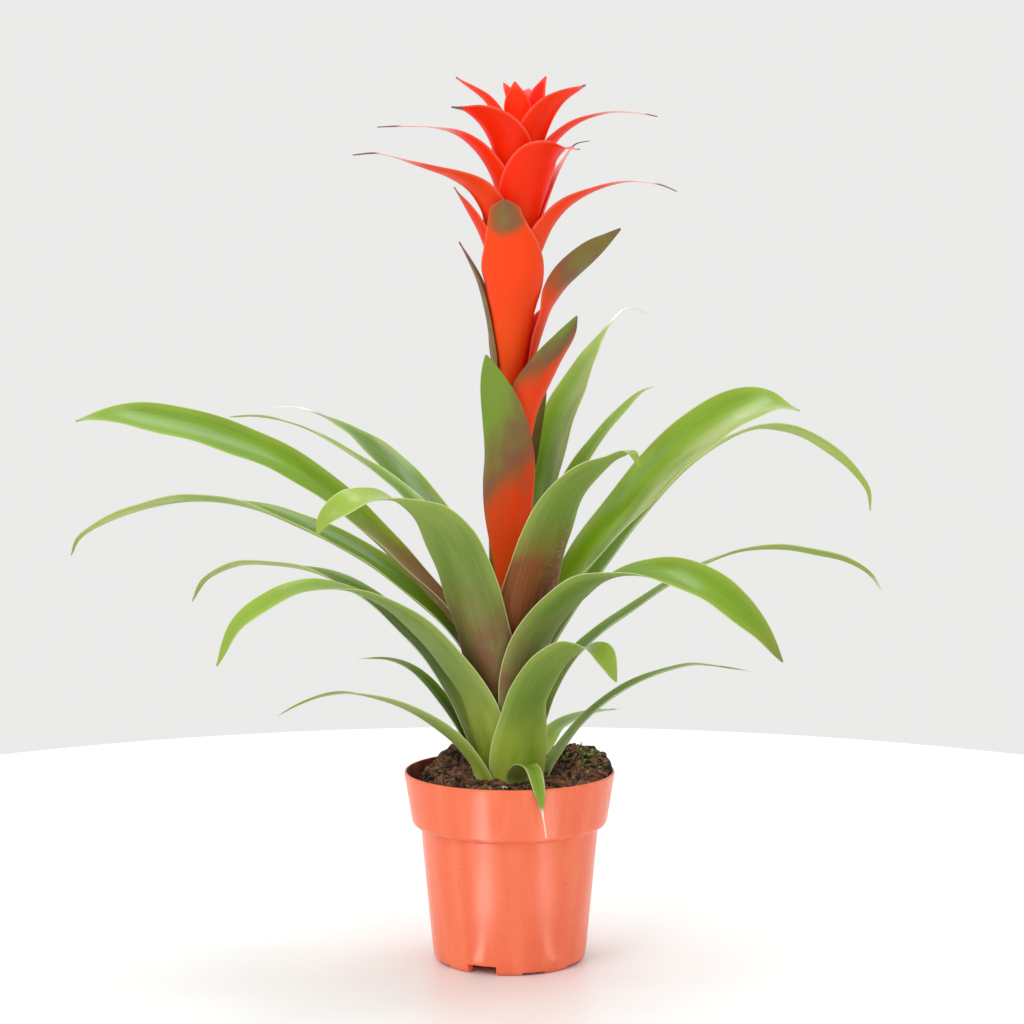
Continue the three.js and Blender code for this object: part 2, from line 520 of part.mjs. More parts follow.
const BRACTS = [
  { name: 'bract_01', azimuth: -105, attach: 212, wrap: 76, wide: 35, shape: OVATE, tone: LEAFY,
    free: [[17.2, 281, 2.5], [19.3, 295, 2.5], [21.5, 311, 1], [24.5, 328, -3], [28, 344, -6.5]] },
  { name: 'bract_02', azimuth: 62, attach: 245, wrap: 66, wide: 33, shape: BOAT, tone: LEAFY,
    free: [[13.8, 277], [16.5, 288], [19.5, 301], [23, 316], [27, 330], [32, 343]] },
  { name: 'bract_03', azimuth: -48, attach: 262, wrap: 64, wide: 31, shape: OVATE, tone: LEAFY,
    free: [[19, 325, 5], [26, 340, 7.5], [33.5, 353, 10], [41, 365.5, 11]] },
  { name: 'bract_04', azimuth: 130, attach: 278, wrap: 44, wide: 18, shape: BOAT, tone: LEAFY,
    free: [[12.5, 310], [15.5, 320], [20, 329]] },
  { name: 'bract_05', azimuth: 98, attach: 292, wrap: 38, wide: 26, shape: BOAT, tone: LEAFY,
    free: [[18, 355], [24, 372], [33, 386], [44, 394]] },
  { name: 'bract_06', azimuth: 172, attach: 303, wrap: 32, wide: 19, shape: BOAT, tone: LEAFY,
    free: [[9.2, 330], [10, 339], [11.2, 347], [12.6, 355.5], [15, 367], [20.2, 384], [28, 400],
      [32.4, 407.5]] },
  { name: 'bract_07', azimuth: 12, attach: 316, wrap: 32, wide: 31, shape: PETAL, tone: LEAFY,
    roll: [[0, 0], [0.35, -4], [0.5, -30], [0.75, -52], [1, -60]],
    free: [[13.2, 341], [16.8, 354], [19.8, 363.5], [24, 374], [29.5, 385],
      [36, 393.5], [43.5, 401.5], [52, 408.5], [60, 415]] },
  { name: 'bract_08', azimuth: -92, attach: 328, wrap: 78, wide: 46, shape: HOOD, dish: 20, tone: SCARLET,
    free: [[17, 385, 0], [18.5, 400, -2], [20.5, 411, -4.5], [24, 421, -6], [28, 428.5, -6.2]] },
  { name: 'bract_09', azimuth: 118, attach: 338, wrap: 46, wide: 25, shape: BOAT, tone: LEAFY,
    free: [[18, 398], [23, 415], [31, 429], [41, 438]] },
  { name: 'bract_10', azimuth: 182, attach: 346, wrap: 50, wide: 25, shape: BOAT, tone: LEAFY,
    free: [[16, 400], [21.5, 413], [28.5, 425], [36, 437.5]] },
  { name: 'bract_11', azimuth: 210, attach: 354, wrap: 52, wide: 32, shape: SPEAR, tone: SCARLET,
    free: [[15.8, 412], [20.3, 423], [29, 434], [42, 441], [57, 445.5], [74, 450], [89, 452.5],
      [103, 451]] },
  { name: 'bract_12', azimuth: -20, attach: 361, wrap: 60, wide: 25, shape: SPEAR, tone: SCARLET,
    free: [[16.5, 406.5], [21, 416], [29, 425.5], [41, 433], [56, 438], [70, 439], [82, 437],
      [92, 433]] },
  { name: 'bract_13', azimuth: 98, attach: 369, wrap: 52, wide: 25, shape: SPEAR, tone: SCARLET,
    free: [[18, 425], [23, 438], [32, 449], [45, 456], [60, 459], [76, 457]] },
  { name: 'bract_14', azimuth: 27, attach: 377, wrap: 38, wide: 20, shape: SPEAR, tone: SCARLET,
    free: [[14, 420], [19, 434.5], [23.5, 446], [29, 455.5], [35, 462.5], [44.5, 465]] },
  { name: 'bract_15', azimuth: -68, attach: 384, wrap: 70, wide: 36, shape: PETAL, tone: SCARLET,
    free: [[15.5, 432, 0], [18, 443, 1], [23, 451.5, 4], [31, 456.5, 11], [38.5, 456, 19.5]] },
  { name: 'bract_16', azimuth: 200, attach: 392, wrap: 56, wide: 25, shape: SPEAR, tone: SCARLET,
    free: [[13.5, 438], [19, 449], [27.5, 459], [38, 466], [52, 469], [69, 469], [83, 468]] },
  { name: 'bract_17', azimuth: 6, attach: 399, wrap: 56, wide: 25, shape: SPEAR, tone: SCARLET,
    free: [[14, 448], [18, 459], [25.5, 468], [35, 474.5], [49, 479], [65, 479.5], [77.5, 477.4]] },
  { name: 'bract_18', azimuth: 112, attach: 406, wrap: 60, wide: 26, shape: SPEAR, tone: SCARLET,
    free: [[15, 455], [20, 467], [28, 477], [40, 483], [54, 484]] },
  { name: 'bract_19', azimuth: -124, attach: 413, wrap: 66, wide: 30, shape: PETAL, tone: SCARLET,
    free: [[13.5, 453, 1], [18, 463, 0], [25, 471, -3], [34, 477, -9], [43.5, 479, -16]] },
  { name: 'bract_20', azimuth: -40, attach: 420, wrap: 62, wide: 28, shape: PETAL, tone: SCARLET,
    free: [[13, 462], [18, 473], [26, 482], [36, 487.5], [46, 490.5]] },
  { name: 'bract_21', azimuth: 192, attach: 427, wrap: 54, wide: 20, shape: PETAL, tone: SCARLET,
    free: [[12, 468], [15, 477], [20, 485], [28, 491.5], [36.5, 497.4]] },
  { name: 'bract_22', azimuth: 80, attach: 434, wrap: 48, wide: 22, shape: PETAL, tone: SCARLET,
    free: [[11.5, 472], [14.5, 482], [20, 490], [28, 495]] },
  { name: 'bract_23', azimuth: 8, attach: 441, wrap: 46, wide: 19, shape: PETAL, tone: SCARLET,
    roll: [[0, 0], [0.5, 36], [1, 46]],
    free: [[8.6, 474], [9.4, 483], [11, 491], [14.5, 499]] },
  { name: 'bract_24', azimuth: -104, attach: 448, wrap: 60, wide: 20, shape: PETAL, tone: SCARLET,
    free: [[7.5, 475], [9, 482], [10.5, 488.5], [12.5, 494.5]] },
  { name: 'bract_25', azimuth: 140, attach: 455, wrap: 56, wide: 16, shape: PETAL, tone: SCARLET,
    free: [[5.5, 480], [7, 486], [9.3, 491.5], [12, 496]] },
];

function bractGeometry(bract) {
  const clasp = [0, 12, 26, 40]
    .filter((rise) => bract.attach + rise < bract.free[0][1] - 8)
    .map((rise) => [stemRadiusAt(bract.attach + rise) + flareAt(rise), bract.attach + rise]);
  const grid = bladeRows({
    ...bract,
    rib: [...clasp, ...bract.free],
    sheathPoints: clasp.length,
    sheathRadius: clasp[clasp.length - 1][0],
    dish: bract.dish ?? clamp(bract.wide * 0.6, 10, 18),
    parting: 34,
  }, 8, 4);
  return leanWithHead(slab(grid, BLADE_THICKNESS).rotateZ(degToRad(bract.azimuth)));
}

// ---------------------------------------------------------------- materials and assembly

const terracottaPlastic = new THREE.MeshStandardMaterial({ color: 0xd9694a, roughness: 0.42, metalness: 0 });
const peat = new THREE.MeshStandardMaterial({ color: 0x3b2417, roughness: 0.95, metalness: 0 });
const stalk = new THREE.MeshStandardMaterial({ color: 0x9fb05a, roughness: 0.6, metalness: 0 });
const leafGreen = new THREE.MeshStandardMaterial({ color: 0x6f9a3c, roughness: 0.38, metalness: 0 });
const bractTones = {
  [LEAFY]: new THREE.MeshStandardMaterial({ color: 0xc0502c, roughness: 0.45, metalness: 0 }),
  [SCARLET]: new THREE.MeshStandardMaterial({ color: 0xff3314, roughness: 0.42, metalness: 0 }),
};

const plant = new THREE.Group();

function place(name, geometry, material) {
  const mesh = new THREE.Mesh(geometry, material);
  mesh.name = name;
  plant.add(mesh);
}

place('pot', potGeometry(), terracottaPlastic);
place('soil', soilGeometry(), peat);
place('stem', stemGeometry(), stalk);
for (const leaf of LEAVES) place(leaf.name, leafGeometry(leaf), leafGreen);
for (const bract of BRACTS) place(bract.name, bractGeometry(bract), bractTones[bract.tone]);

export default plant;
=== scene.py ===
"""Potted bromeliad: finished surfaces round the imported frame. Metres, +Z up, its front towards -Y."""

import math

import bpy
import numpy as np
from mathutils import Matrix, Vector


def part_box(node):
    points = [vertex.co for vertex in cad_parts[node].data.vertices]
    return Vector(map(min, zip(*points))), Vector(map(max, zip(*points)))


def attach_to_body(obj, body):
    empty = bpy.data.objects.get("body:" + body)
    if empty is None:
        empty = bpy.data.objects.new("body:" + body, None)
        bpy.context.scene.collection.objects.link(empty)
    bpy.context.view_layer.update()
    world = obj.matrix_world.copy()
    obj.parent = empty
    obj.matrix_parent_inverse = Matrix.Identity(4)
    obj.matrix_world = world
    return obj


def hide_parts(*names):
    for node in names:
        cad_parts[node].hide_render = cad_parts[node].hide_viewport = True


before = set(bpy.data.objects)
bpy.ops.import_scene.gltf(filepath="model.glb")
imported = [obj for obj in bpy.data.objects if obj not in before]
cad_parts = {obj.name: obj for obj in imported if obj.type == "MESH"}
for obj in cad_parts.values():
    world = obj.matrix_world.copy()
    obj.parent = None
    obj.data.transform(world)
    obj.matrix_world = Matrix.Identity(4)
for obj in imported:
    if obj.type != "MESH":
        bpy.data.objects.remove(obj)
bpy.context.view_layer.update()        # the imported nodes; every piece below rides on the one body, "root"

# ---------------------------------------------------------------- camera
# A short telephoto a little above the middle of the plant, looking slightly down at it. Its height,
# tilt and lens were fitted to the pot's rim, band and foot in the photograph; its distance is a guess.

camera_lens = bpy.data.cameras.new("camera")
camera_lens.sensor_width = 36
camera_lens.lens = 77.94
camera_lens.clip_end = 20
camera = bpy.data.objects.new("camera", camera_lens)
camera.location = (0.0014, -1.250, 0.3507)
camera.rotation_euler = (math.radians(85.635), 0, 0)
bpy.context.scene.collection.objects.link(camera)
bpy.context.scene.camera = camera
bpy.context.scene.view_settings.view_transform = "Standard"

# ---------------------------------------------------------------- pot
# A thin injection-moulded plant pot of terracotta-coloured polypropylene: a tapered body, a broad
# band below the rim, and a foot ring with nine notches, every third one deep enough to drain.
# The mould leaves a satin skin that catches long soft highlights; potting has left specks of peat.

MM = 0.001                # shapes are worked out in mm, and made metres in their meshes
POT_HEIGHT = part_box("pot")[1].z / MM
RIM_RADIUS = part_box("pot")[1].x / MM
POT_WALL = 1.2
FOOT_RADIUS = 41.5
FOOT_INNER_RADIUS = 38
FLOOR_UNDERSIDE = 4
BODY_RADIUS, BODY_TOP = 50.6, 76.2      # the tapered wall ends here and steps out to the band
BAND_RADIUS, BAND_FOOT = 56, 82.6       # the band's wall starts here, seen from inside
NOTCHED_FROM = 36.5       # the notches reach in to this radius
NOTCHES = 9
FIRST_NOTCH = -151        # azimuth in degrees, counter-clockwise from +X
DRAIN_NOTCH = (16, 5.4)   # width and height in mm
LOW_NOTCH = (13, 1.6)
NOTCH_EDGE = 0.12         # degrees to each side of a notch's edge, where its corners stand
NICK = (-0.0578, -0.0125, 0.0975)   # a dark scuff on the band, at the left


def linear(hex_colour):
    """An sRGB hex colour as linear red, green, blue and alpha."""
    srgb = [int(hex_colour[i:i + 2], 16) / 255 for i in (1, 3, 5)]
    return [c / 12.92 if c <= 0.04045 else ((c + 0.055) / 1.055) ** 2.4 for c in srgb] + [1]


def fill(material, node, inputs):
    """Each input of a node set to a value, or linked from another node's output socket."""
    for name, value in inputs.items():
        if isinstance(value, bpy.types.NodeSocket):
            material.node_tree.links.new(value, node.inputs[name])
        else:
            node.inputs[name].default_value = value


def add(material, kind, inputs=None, output=0, **settings):
    """One node of a material with its settings and filled inputs; returns one of its outputs."""
    node = material.node_tree.nodes.new(kind)
    for name, value in settings.items():
        setattr(node, name, value)
    fill(material, node, inputs or {})
    return node.outputs[output]


def finish_named(name):
    """A new material, named for its real finish, and its Principled shader."""
    material = bpy.data.materials.new(name)
    material.use_nodes = True
    return material, material.node_tree.nodes["Principled BSDF"]


def cells(size):
    """The texture scale at which a pattern's cells are size mm across."""
    return 1 / (size * MM)


def masked(material, *masks):
    """The product of masks. Each is a socket, or (pattern, low, high): 0 where the pattern is low, 1
    where it is high and a smooth step between. Two more numbers stand in for that 0 and 1."""
    amount = None
    for mask in masks:
        if isinstance(mask, tuple):
            mask = add(material, "ShaderNodeMapRange", dict(enumerate(mask)),
                       interpolation_type="SMOOTHSTEP")
        if amount is not None:
            mask = add(material, "ShaderNodeMath", {0: amount, 1: mask}, operation="MULTIPLY")
        amount = mask
    return amount


def layered(material, colour, *layers):
    """The colour with layers laid over it in turn: each is a tint, then the masks whose product is
    its share. A tint, like the first colour, is an sRGB hex value or a colour socket."""
    colour = linear(colour) if isinstance(colour, str) else colour
    for tint, *masks in layers:
        tint = linear(tint) if isinstance(tint, str) else tint
        colour = add(material, "ShaderNodeMix", {0: masked(material, *masks), 6: colour, 7: tint}, 2,
                     data_type="RGBA")
    return colour


def piece(name, points, faces, materials, slot, replaced=(), face_material=None, smooth_below=40,
          **attributes):
    """A finished piece that rides on the plant: points in mm, faces as vertex rows, point attributes."""
    mesh = bpy.data.meshes.new(name)
    quads = np.asarray(faces, np.int32)
    mesh.vertices.add(len(points))
    mesh.vertices.foreach_set("co", (np.asarray(points) * MM).astype(np.float32).ravel())
    mesh.loops.add(quads.size)
    mesh.loops.foreach_set("vertex_index", quads.ravel())
    mesh.polygons.add(len(quads))
    mesh.polygons.foreach_set("loop_start", np.arange(len(quads), dtype=np.int32) * quads.shape[1])
    if face_material is not None:
        mesh.polygons.foreach_set("material_index", np.asarray(face_material, np.int32))
    mesh.update(calc_edges=True)
    for label, values in attributes.items():
        kind, width, key = ("FLOAT_VECTOR", 3, "vector") if np.ndim(values) == 2 else ("FLOAT", 1, "value")
        layer = mesh.attributes.new(label, kind, "POINT")
        layer.data.foreach_set(key, np.asarray(values, np.float32).reshape(-1, width).ravel())
    mesh.shade_smooth()
    mesh.set_sharp_from_angle(angle=math.radians(smooth_below))
    for material in materials:
        mesh.materials.append(material)
    made = bpy.data.objects.new(name, mesh)
    bpy.context.scene.collection.objects.link(made)
    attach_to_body(made, "root")
    if replaced:
        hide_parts(*replaced)
    return made


def grid_faces(rows, columns, wrapped=False):
    """Quads of a grid whose points run row by row; wrapped joins the last column to the first."""
    i = np.arange(rows - 1)[:, None]
    j = np.arange(columns if wrapped else columns - 1)[None, :]
    k = (j + 1) % columns
    corners = (i * columns + j, (i + 1) * columns + j, (i + 1) * columns + k, i * columns + k)
    return np.stack(np.broadcast_arrays(*corners), axis=-1).reshape(-1, 4)


def rounded(corners, steps=5):
    """A profile of (radius, height, rounding) corners, each turned into an arc as a quadratic curve."""
    points = [corners[0][:2]]
    for before, corner, after in zip(corners, corners[1:], corners[2:]):
        here = np.array(corner[:2], float)
        ways = [np.array(end[:2], float) - here for end in (before, after)]
        start, stop = [here + way * min(corner[2] / np.hypot(*way), 0.45) for way in ways]
        t = np.linspace(0, 1, steps)[:, None]
        points += [*((1 - t) ** 2 * start + 2 * t * (1 - t) * here + t ** 2 * stop)]
    points.append(corners[-1][:2])
    return np.array(points)


def subdivided(profile, longest):
    """The same profile with points added so that no straight stretch is longer than longest."""
    out = [profile[:1]]
    for a, b in zip(profile, profile[1:]):
        count = max(1, math.ceil(np.hypot(*(b - a)) / longest))
        out.append(a + (b - a) * (np.arange(1, count + 1) / count)[:, None])
    return np.concatenate(out)


def notches():
    """Each notch of the foot in turn: its middle azimuth, half of its width in degrees, its height."""
    for k in range(NOTCHES):
        width, rise = DRAIN_NOTCH if k % 3 == 1 else LOW_NOTCH
        yield FIRST_NOTCH + k * 360 / NOTCHES, math.degrees(math.asin(width / 2 / FOOT_RADIUS)), rise


def notch_height(azimuth):
    """Height in mm that the foot is cut up to at each azimuth: flat-topped notches, 0 between them."""
    height = np.zeros_like(azimuth)
    for centre, half, rise in notches():
        height[np.abs((azimuth - centre + 180) % 360 - 180) < half] = rise
    return height


def pot_azimuths():
    """Azimuths every 1.5 degrees, with a close pair at each side of each notch so that it cuts clean."""
    sides = [centre + side * half + nudge for centre, half, _ in notches()
             for side in (-1, 1) for nudge in (-NOTCH_EDGE, NOTCH_EDGE)]
    return np.unique(np.round(np.concatenate([np.arange(0, 360, 1.5), np.array(sides) % 360]), 4))


def pot_surface():
    """The closed profile turned about the axis; foot points below a notch's top are lifted to it."""
    inner_floor = FLOOR_UNDERSIDE + POT_WALL
    profile = subdivided(rounded([
        (0.01, 0, 0), (12, 0, 0.4), (12.3, FLOOR_UNDERSIDE, 0.6),
        (NOTCHED_FROM, FLOOR_UNDERSIDE, 0), (NOTCHED_FROM + 0.05, FLOOR_UNDERSIDE, 0),
        (FOOT_INNER_RADIUS, FLOOR_UNDERSIDE, 0.5), (FOOT_INNER_RADIUS + 0.5, 0, 0.4),
        (FOOT_RADIUS, 0, 0.9), (43.2, 2, 1.4), (44, 6.05, 1.5), (BODY_RADIUS, 76, 0.8), (54.4, 77.9, 0.7),
        (55.6, 79.6, 1.6), (RIM_RADIUS, POT_HEIGHT - 0.9, 0.5), (RIM_RADIUS - 0.5, POT_HEIGHT, 0.45),
        (RIM_RADIUS - POT_WALL - 0.1, POT_HEIGHT - 0.2, 0.4), (BAND_RADIUS - POT_WALL, BAND_FOOT, 2),
        (BODY_RADIUS - POT_WALL, BODY_TOP, 1), (44.3 - POT_WALL, 9, 2), (FOOT_RADIUS, inner_floor, 0.5),
        (NOTCHED_FROM - 0.8, inner_floor, 0), (0.01, inner_floor, 0),
    ]), longest=6)
    azimuth = pot_azimuths()
    radius, height = profile[:, 0][:, None], profile[:, 1][:, None]
    cut = notch_height(azimuth)[None, :]
    inside = np.arange(len(profile))[:, None] > np.argmax(height)
    lifted = np.where(inside, np.where(cut > 2, cut + POT_WALL, 0), cut)
    height = np.where(radius > NOTCHED_FROM - 0.9 * inside, np.maximum(height, lifted), height)
    turn = np.radians(azimuth)
    points = np.stack(np.broadcast_arrays(radius * np.cos(turn), radius * np.sin(turn), height), -1)
    faces = grid_faces(len(profile), len(azimuth), wrapped=True)[:, ::-1]
    is_inside = np.repeat(np.arange(len(profile) - 1) > np.argmax(profile[:, 1]) + 3, len(azimuth))
    return points.reshape(-1, 3), faces, is_inside


def moulded_polypropylene():
    """Satin terracotta plastic: even colour with faint vertical flow marks, an orange-peel skin of
    1.1 mm dimples, 1.6 mm specks of peat in patches, and one scuff."""
    material, shader = finish_named("moulded_polypropylene_terracotta")
    place = add(material, "ShaderNodeTexCoord", output="Object")
    upright = add(material, "ShaderNodeMapping", {"Vector": place, "Scale": (1, 1, 0.06)})
    flow, cloud, grit, patch, peel = (
        add(material, "ShaderNodeTexNoise", {"Vector": at, "Scale": cells(size), "Detail": detail})
        for at, size, detail in ((upright, 11.11, 3), (place, 35.71, 4), (place, 1.613, 2),
                                 (place, 22.22, 2), (place, 1.111, 1)))
    from_nick = add(material, "ShaderNodeVectorMath", {0: place, 1: NICK}, "Value", operation="DISTANCE")
    ragged = add(material, "ShaderNodeMath", {0: grit, 1: 1.8 * MM, 2: from_nick},
                 operation="MULTIPLY_ADD")
    specks = add(material, "ShaderNodeMath",
                 {0: masked(material, (grit, 0.69, 0.74), (patch, 0.55, 0.68, 0, 0.7)),
                  1: masked(material, (ragged, 2.6 * MM, 1.8 * MM))}, operation="MAXIMUM")
    colour = layered(material, "#F5724C",
                     ("#FC8059", (flow, 0.35, 0.7)),
                     ("#E25A36", (cloud, 0.5, 0.8, 0, 0.22)),
                     ("#4A2A1C", specks))
    skin = add(material, "ShaderNodeMath", {0: flow, 1: 2, 2: peel}, operation="MULTIPLY_ADD")
    bump = add(material, "ShaderNodeBump", {"Height": skin, "Strength": 0.12, "Distance": 0.2 * MM})
    wear = masked(material, (cloud, 0.3, 0.75, 0.24, 0.32))
    fill(material, shader, {"Base Color": colour, "Roughness": wear, "IOR": 1.49,
                            "Specular IOR Level": 0.32, "Normal": bump})
    return material


def shaded_inside_polypropylene():
    """The same plastic inside the pot, painted dark brown as shade, with lighter smears."""
    material, shader = finish_named("moulded_polypropylene_painted_shade")
    place = add(material, "ShaderNodeTexCoord", output="Object")
    smear = add(material, "ShaderNodeTexNoise", {"Vector": place, "Scale": cells(9.09), "Detail": 6})
    # The dark brown base is painted shade inside the pot; the smears lighten it.
    colour = layered(material, "#54221A", ("#8A3A26", (smear, 0.38, 0.66)))
    bump = add(material, "ShaderNodeBump", {"Height": smear, "Strength": 0.4, "Distance": 0.6 * MM})
    fill(material, shader, {"Base Color": colour, "Roughness": 0.6, "IOR": 1.49, "Normal": bump})
    return material


pot_points, pot_faces, pot_inside = pot_surface()
piece("nursery_pot", pot_points, pot_faces, [moulded_polypropylene(), shaded_inside_polypropylene()], "pot",
      replaced=["pot"], face_material=pot_inside)

# ---------------------------------------------------------------- soil
# Moist peat potting mix with bark crumbs, some fibres, three grains of perlite and some moss.
# It is pressed in by hand: low at the left, heaped against the wall behind and at the right.

SOIL_LEVEL = 104
SOIL_WALL_GAP = 0.25
HEAPS = ((45, 40, 9), (8, 22, 4.5), (126, 20, 10))   # azimuth, spread in degrees, rise in mm
HOLLOW = (188, 44, 9)
DOMES = 1500                # rough crumbs of the surface: flattened domes, part sunk in it
DOME_SQUASH = 0.8
DOME_SUNK = 1.3
HOLLOW_DEPTH = 2.6          # how far the surface lies down between them
SOIL_UNDERSIDE = 84
SOIL_UNDERSIDE_RADIUS = 54.5
random = np.random.default_rng(20)


def wall_inside(height):
    """Radius of the pot's inner wall at each height above its body."""
    outside = np.interp(height, [BODY_TOP, BAND_FOOT, POT_HEIGHT], [BODY_RADIUS, BAND_RADIUS, RIM_RADIUS])
    return outside - POT_WALL


def eased(x, low, high):
    """0 below low, 1 above high, smooth between."""
    t = np.clip((x - low) / (high - low), 0, 1)
    return t * t * (3 - 2 * t)


def heap(azimuth, centre, spread, rise):
    """A bell about one azimuth: rise mm at its centre, falling off with the turn over spread."""
    turn = np.abs((azimuth - centre + 540) % 360 - 180)
    return rise * np.exp(-(turn / spread) ** 2)


def soil_level(azimuth, radius):
    """Height of the peat: a level with two ripples, and heaps and a hollow near the wall."""
    ripple = 0.7 * np.sin(np.radians(azimuth) * 5 + radius * 0.22)
    ripple = ripple + 0.6 * np.cos(np.radians(azimuth) * 9 - radius * 0.35)
    heaped = sum(heap(azimuth, *bell) for bell in HEAPS)
    return (SOIL_LEVEL + ripple + eased(radius, 30, 50) * heaped
            - eased(radius, 42, 54) * heap(azimuth, *HOLLOW))


def soil_surface():
    """A polar grid of the peat's top, roughened by many domes, closed by a wall and a flat bottom."""
    azimuth = np.linspace(0, 360, 360, endpoint=False)[None, :]
    share = np.linspace(0.02, 1, 110)[:, None]
    radius = share * (wall_inside(soil_level(azimuth, 58)) - SOIL_WALL_GAP)
    x, y = radius * np.cos(np.radians(azimuth)), radius * np.sin(np.radians(azimuth))
    height = soil_level(azimuth, radius)
    dome_radius = random.uniform(0.8, 3.2, DOMES) ** 1.15
    dome_turn = random.uniform(0, 2 * np.pi, DOMES)
    dome_reach = 56 * np.sqrt(random.uniform(0.02, 1, DOMES))
    dome_x, dome_y = dome_reach * np.cos(dome_turn), dome_reach * np.sin(dome_turn)
    rise = np.full(x.shape, -HOLLOW_DEPTH)
    for cx, cy, size in zip(dome_x, dome_y, dome_radius):
        square = size ** 2 - (x - cx) ** 2 - (y - cy) ** 2
        dome = np.where(square > 0, np.sqrt(np.maximum(square, 0)) * DOME_SQUASH - DOME_SUNK, -HOLLOW_DEPTH)
        rise = np.maximum(rise, dome)
    points = np.stack(np.broadcast_arrays(x, y, height + rise), -1)
    below = points[-1:] * [1, 1, 0] + [0, 0, SOIL_UNDERSIDE]
    below[..., :2] *= SOIL_UNDERSIDE_RADIUS / np.hypot(below[..., 0], below[..., 1])[..., None]
    floor = np.stack([0.02 * below[..., 0], 0.02 * below[..., 1], below[..., 2]], -1)
    rows = np.concatenate([points, below, floor])
    crown = np.full(rows.shape[:2], 0.5)
    # Painted shade: the lower a point lies between the domes, the darker the peat is coloured there.
    crown[:-2] = np.clip(0.5 + rise / 3.5, 0, 1)
    faces = grid_faces(rows.shape[0], rows.shape[1], wrapped=True)
    return rows.reshape(-1, 3), faces, crown.reshape(-1)


def moist_peat():
    """Dark fibrous peat: hollows painted near-black as shade, red-brown 2.4 mm crumbs, pale fibre ends, all
    dull.
    """
    material, shader = finish_named("moist_peat")
    place = add(material, "ShaderNodeTexCoord", output="Object")
    crown = add(material, "ShaderNodeAttribute", output="Fac", attribute_name="crown")
    crumb = add(material, "ShaderNodeTexNoise",
                {"Vector": place, "Scale": cells(2.381), "Detail": 8, "Roughness": 0.7})
    fibre = add(material, "ShaderNodeTexVoronoi", {"Vector": place, "Scale": cells(1.4286)}, "Distance",
                feature="DISTANCE_TO_EDGE")
    shade = add(material, "ShaderNodeMath", {0: crumb, 1: 0.7}, operation="MULTIPLY")
    # Painted shade: the hollows between the domes come out darker and their crowns lighter.
    shade = add(material, "ShaderNodeMath", {0: crown, 1: 0.6, 2: shade}, operation="MULTIPLY_ADD")
    colour = layered(material, "#150B07",
                     ("#573322", (shade, 0.42, 0.78)),
                     ("#74482F", (crumb, 0.57, 0.72)),
                     ("#9A7355", (fibre, 0.05, 0.0, 0, 0.5)))
    bump = add(material, "ShaderNodeBump", {"Height": crumb, "Strength": 0.9, "Distance": 1.2 * MM})
    fill(material, shader, {"Base Color": colour, "Roughness": 0.9, "Normal": bump})
    return material


def icosahedron():
    """The twelve corners and twenty faces of a unit icosahedron."""
    g = (1 + math.sqrt(5)) / 2
    corners = np.array([(-1, g, 0), (1, g, 0), (-1, -g, 0), (1, -g, 0), (0, -1, g), (0, 1, g),
                        (0, -1, -g), (0, 1, -g), (g, 0, -1), (g, 0, 1), (-g, 0, -1), (-g, 0, 1)])
    faces = np.array([(0, 11, 5), (0, 5, 1), (0, 1, 7), (0, 7, 10), (0, 10, 11), (1, 5, 9),
                      (5, 11, 4), (11, 10, 2), (10, 7, 6), (7, 1, 8), (3, 9, 4), (3, 4, 2),
                      (3, 2, 6), (3, 6, 8), (3, 8, 9), (4, 9, 5), (2, 4, 11), (6, 2, 10),
                      (8, 6, 7), (9, 8, 1)])
    return corners / np.hypot(1, g), faces


def scattered_lumps(azimuth, radius, size, stretch, lift):
    """One lump at each place: an icosahedron with uneven corners, stretched and turned. Its middle is
    lift times its size above the peat's level."""
    corners, faces = icosahedron()
    count = len(size)
    uneven = random.uniform(0.7, 1.2, (count, 12, 1))
    local = corners[None] * uneven * size[:, None, None] * stretch[:, None, :]
    axes = np.linalg.qr(random.normal(size=(count, 3, 3)))[0]
    axes[:, :, 0] *= np.sign(np.linalg.det(axes))[:, None]
    turn = np.radians(azimuth)
    height = soil_level(azimuth, radius) + lift * size
    centre = np.stack([radius * np.cos(turn), radius * np.sin(turn), height], -1)
    points = np.einsum("nij,nvj->nvi", axes, local) + centre[:, None]
    faces = faces[None] + 12 * np.arange(count)[:, None, None]
    shade = np.repeat(random.uniform(0, 1, count), 12)
    return points.reshape(-1, 3), faces.reshape(-1, 3), shade


def crumbs_of(name, dark, light, roughness):
    """A loose crumb of the mix: each its own shade between dark and light, its skin broken every
    1.25 mm."""
    material, shader = finish_named(name)
    place = add(material, "ShaderNodeTexCoord", output="Object")
    shade = add(material, "ShaderNodeAttribute", output="Fac", attribute_name="shade")
    grain = add(material, "ShaderNodeTexNoise", {"Vector": place, "Scale": cells(1.25), "Detail": 5})
    share = add(material, "ShaderNodeMath", {0: shade, 1: grain}, operation="ADD")
    colour = layered(material, dark, (light, (share, 0.6, 1.45)))
    bump = add(material, "ShaderNodeBump", {"Height": grain, "Strength": 0.7, "Distance": 0.5 * MM})
    fill(material, shader, {"Base Color": colour, "Roughness": roughness, "Normal": bump})
    return material


soil_points, soil_faces, soil_crown = soil_surface()
piece("peat", soil_points, soil_faces, [moist_peat()], "soil", replaced=["soil"], smooth_below=60,
      crown=soil_crown)

crumb_count = 2400
crumb_reach = 24 + 31 * np.sqrt(random.uniform(0, 1, crumb_count))
crumb_points, crumb_faces, crumb_shade = scattered_lumps(
    random.uniform(0, 360, crumb_count), crumb_reach,
    random.uniform(0.5, 1.95, crumb_count) ** 1.25,
    random.uniform(0.45, 1.6, (crumb_count, 3)), 0.15)
piece("peat_crumbs", crumb_points, crumb_faces,
      [crumbs_of("peat_crumb", "#1C0F09", "#8C5E43", 0.92)], "soil", shade=crumb_shade)

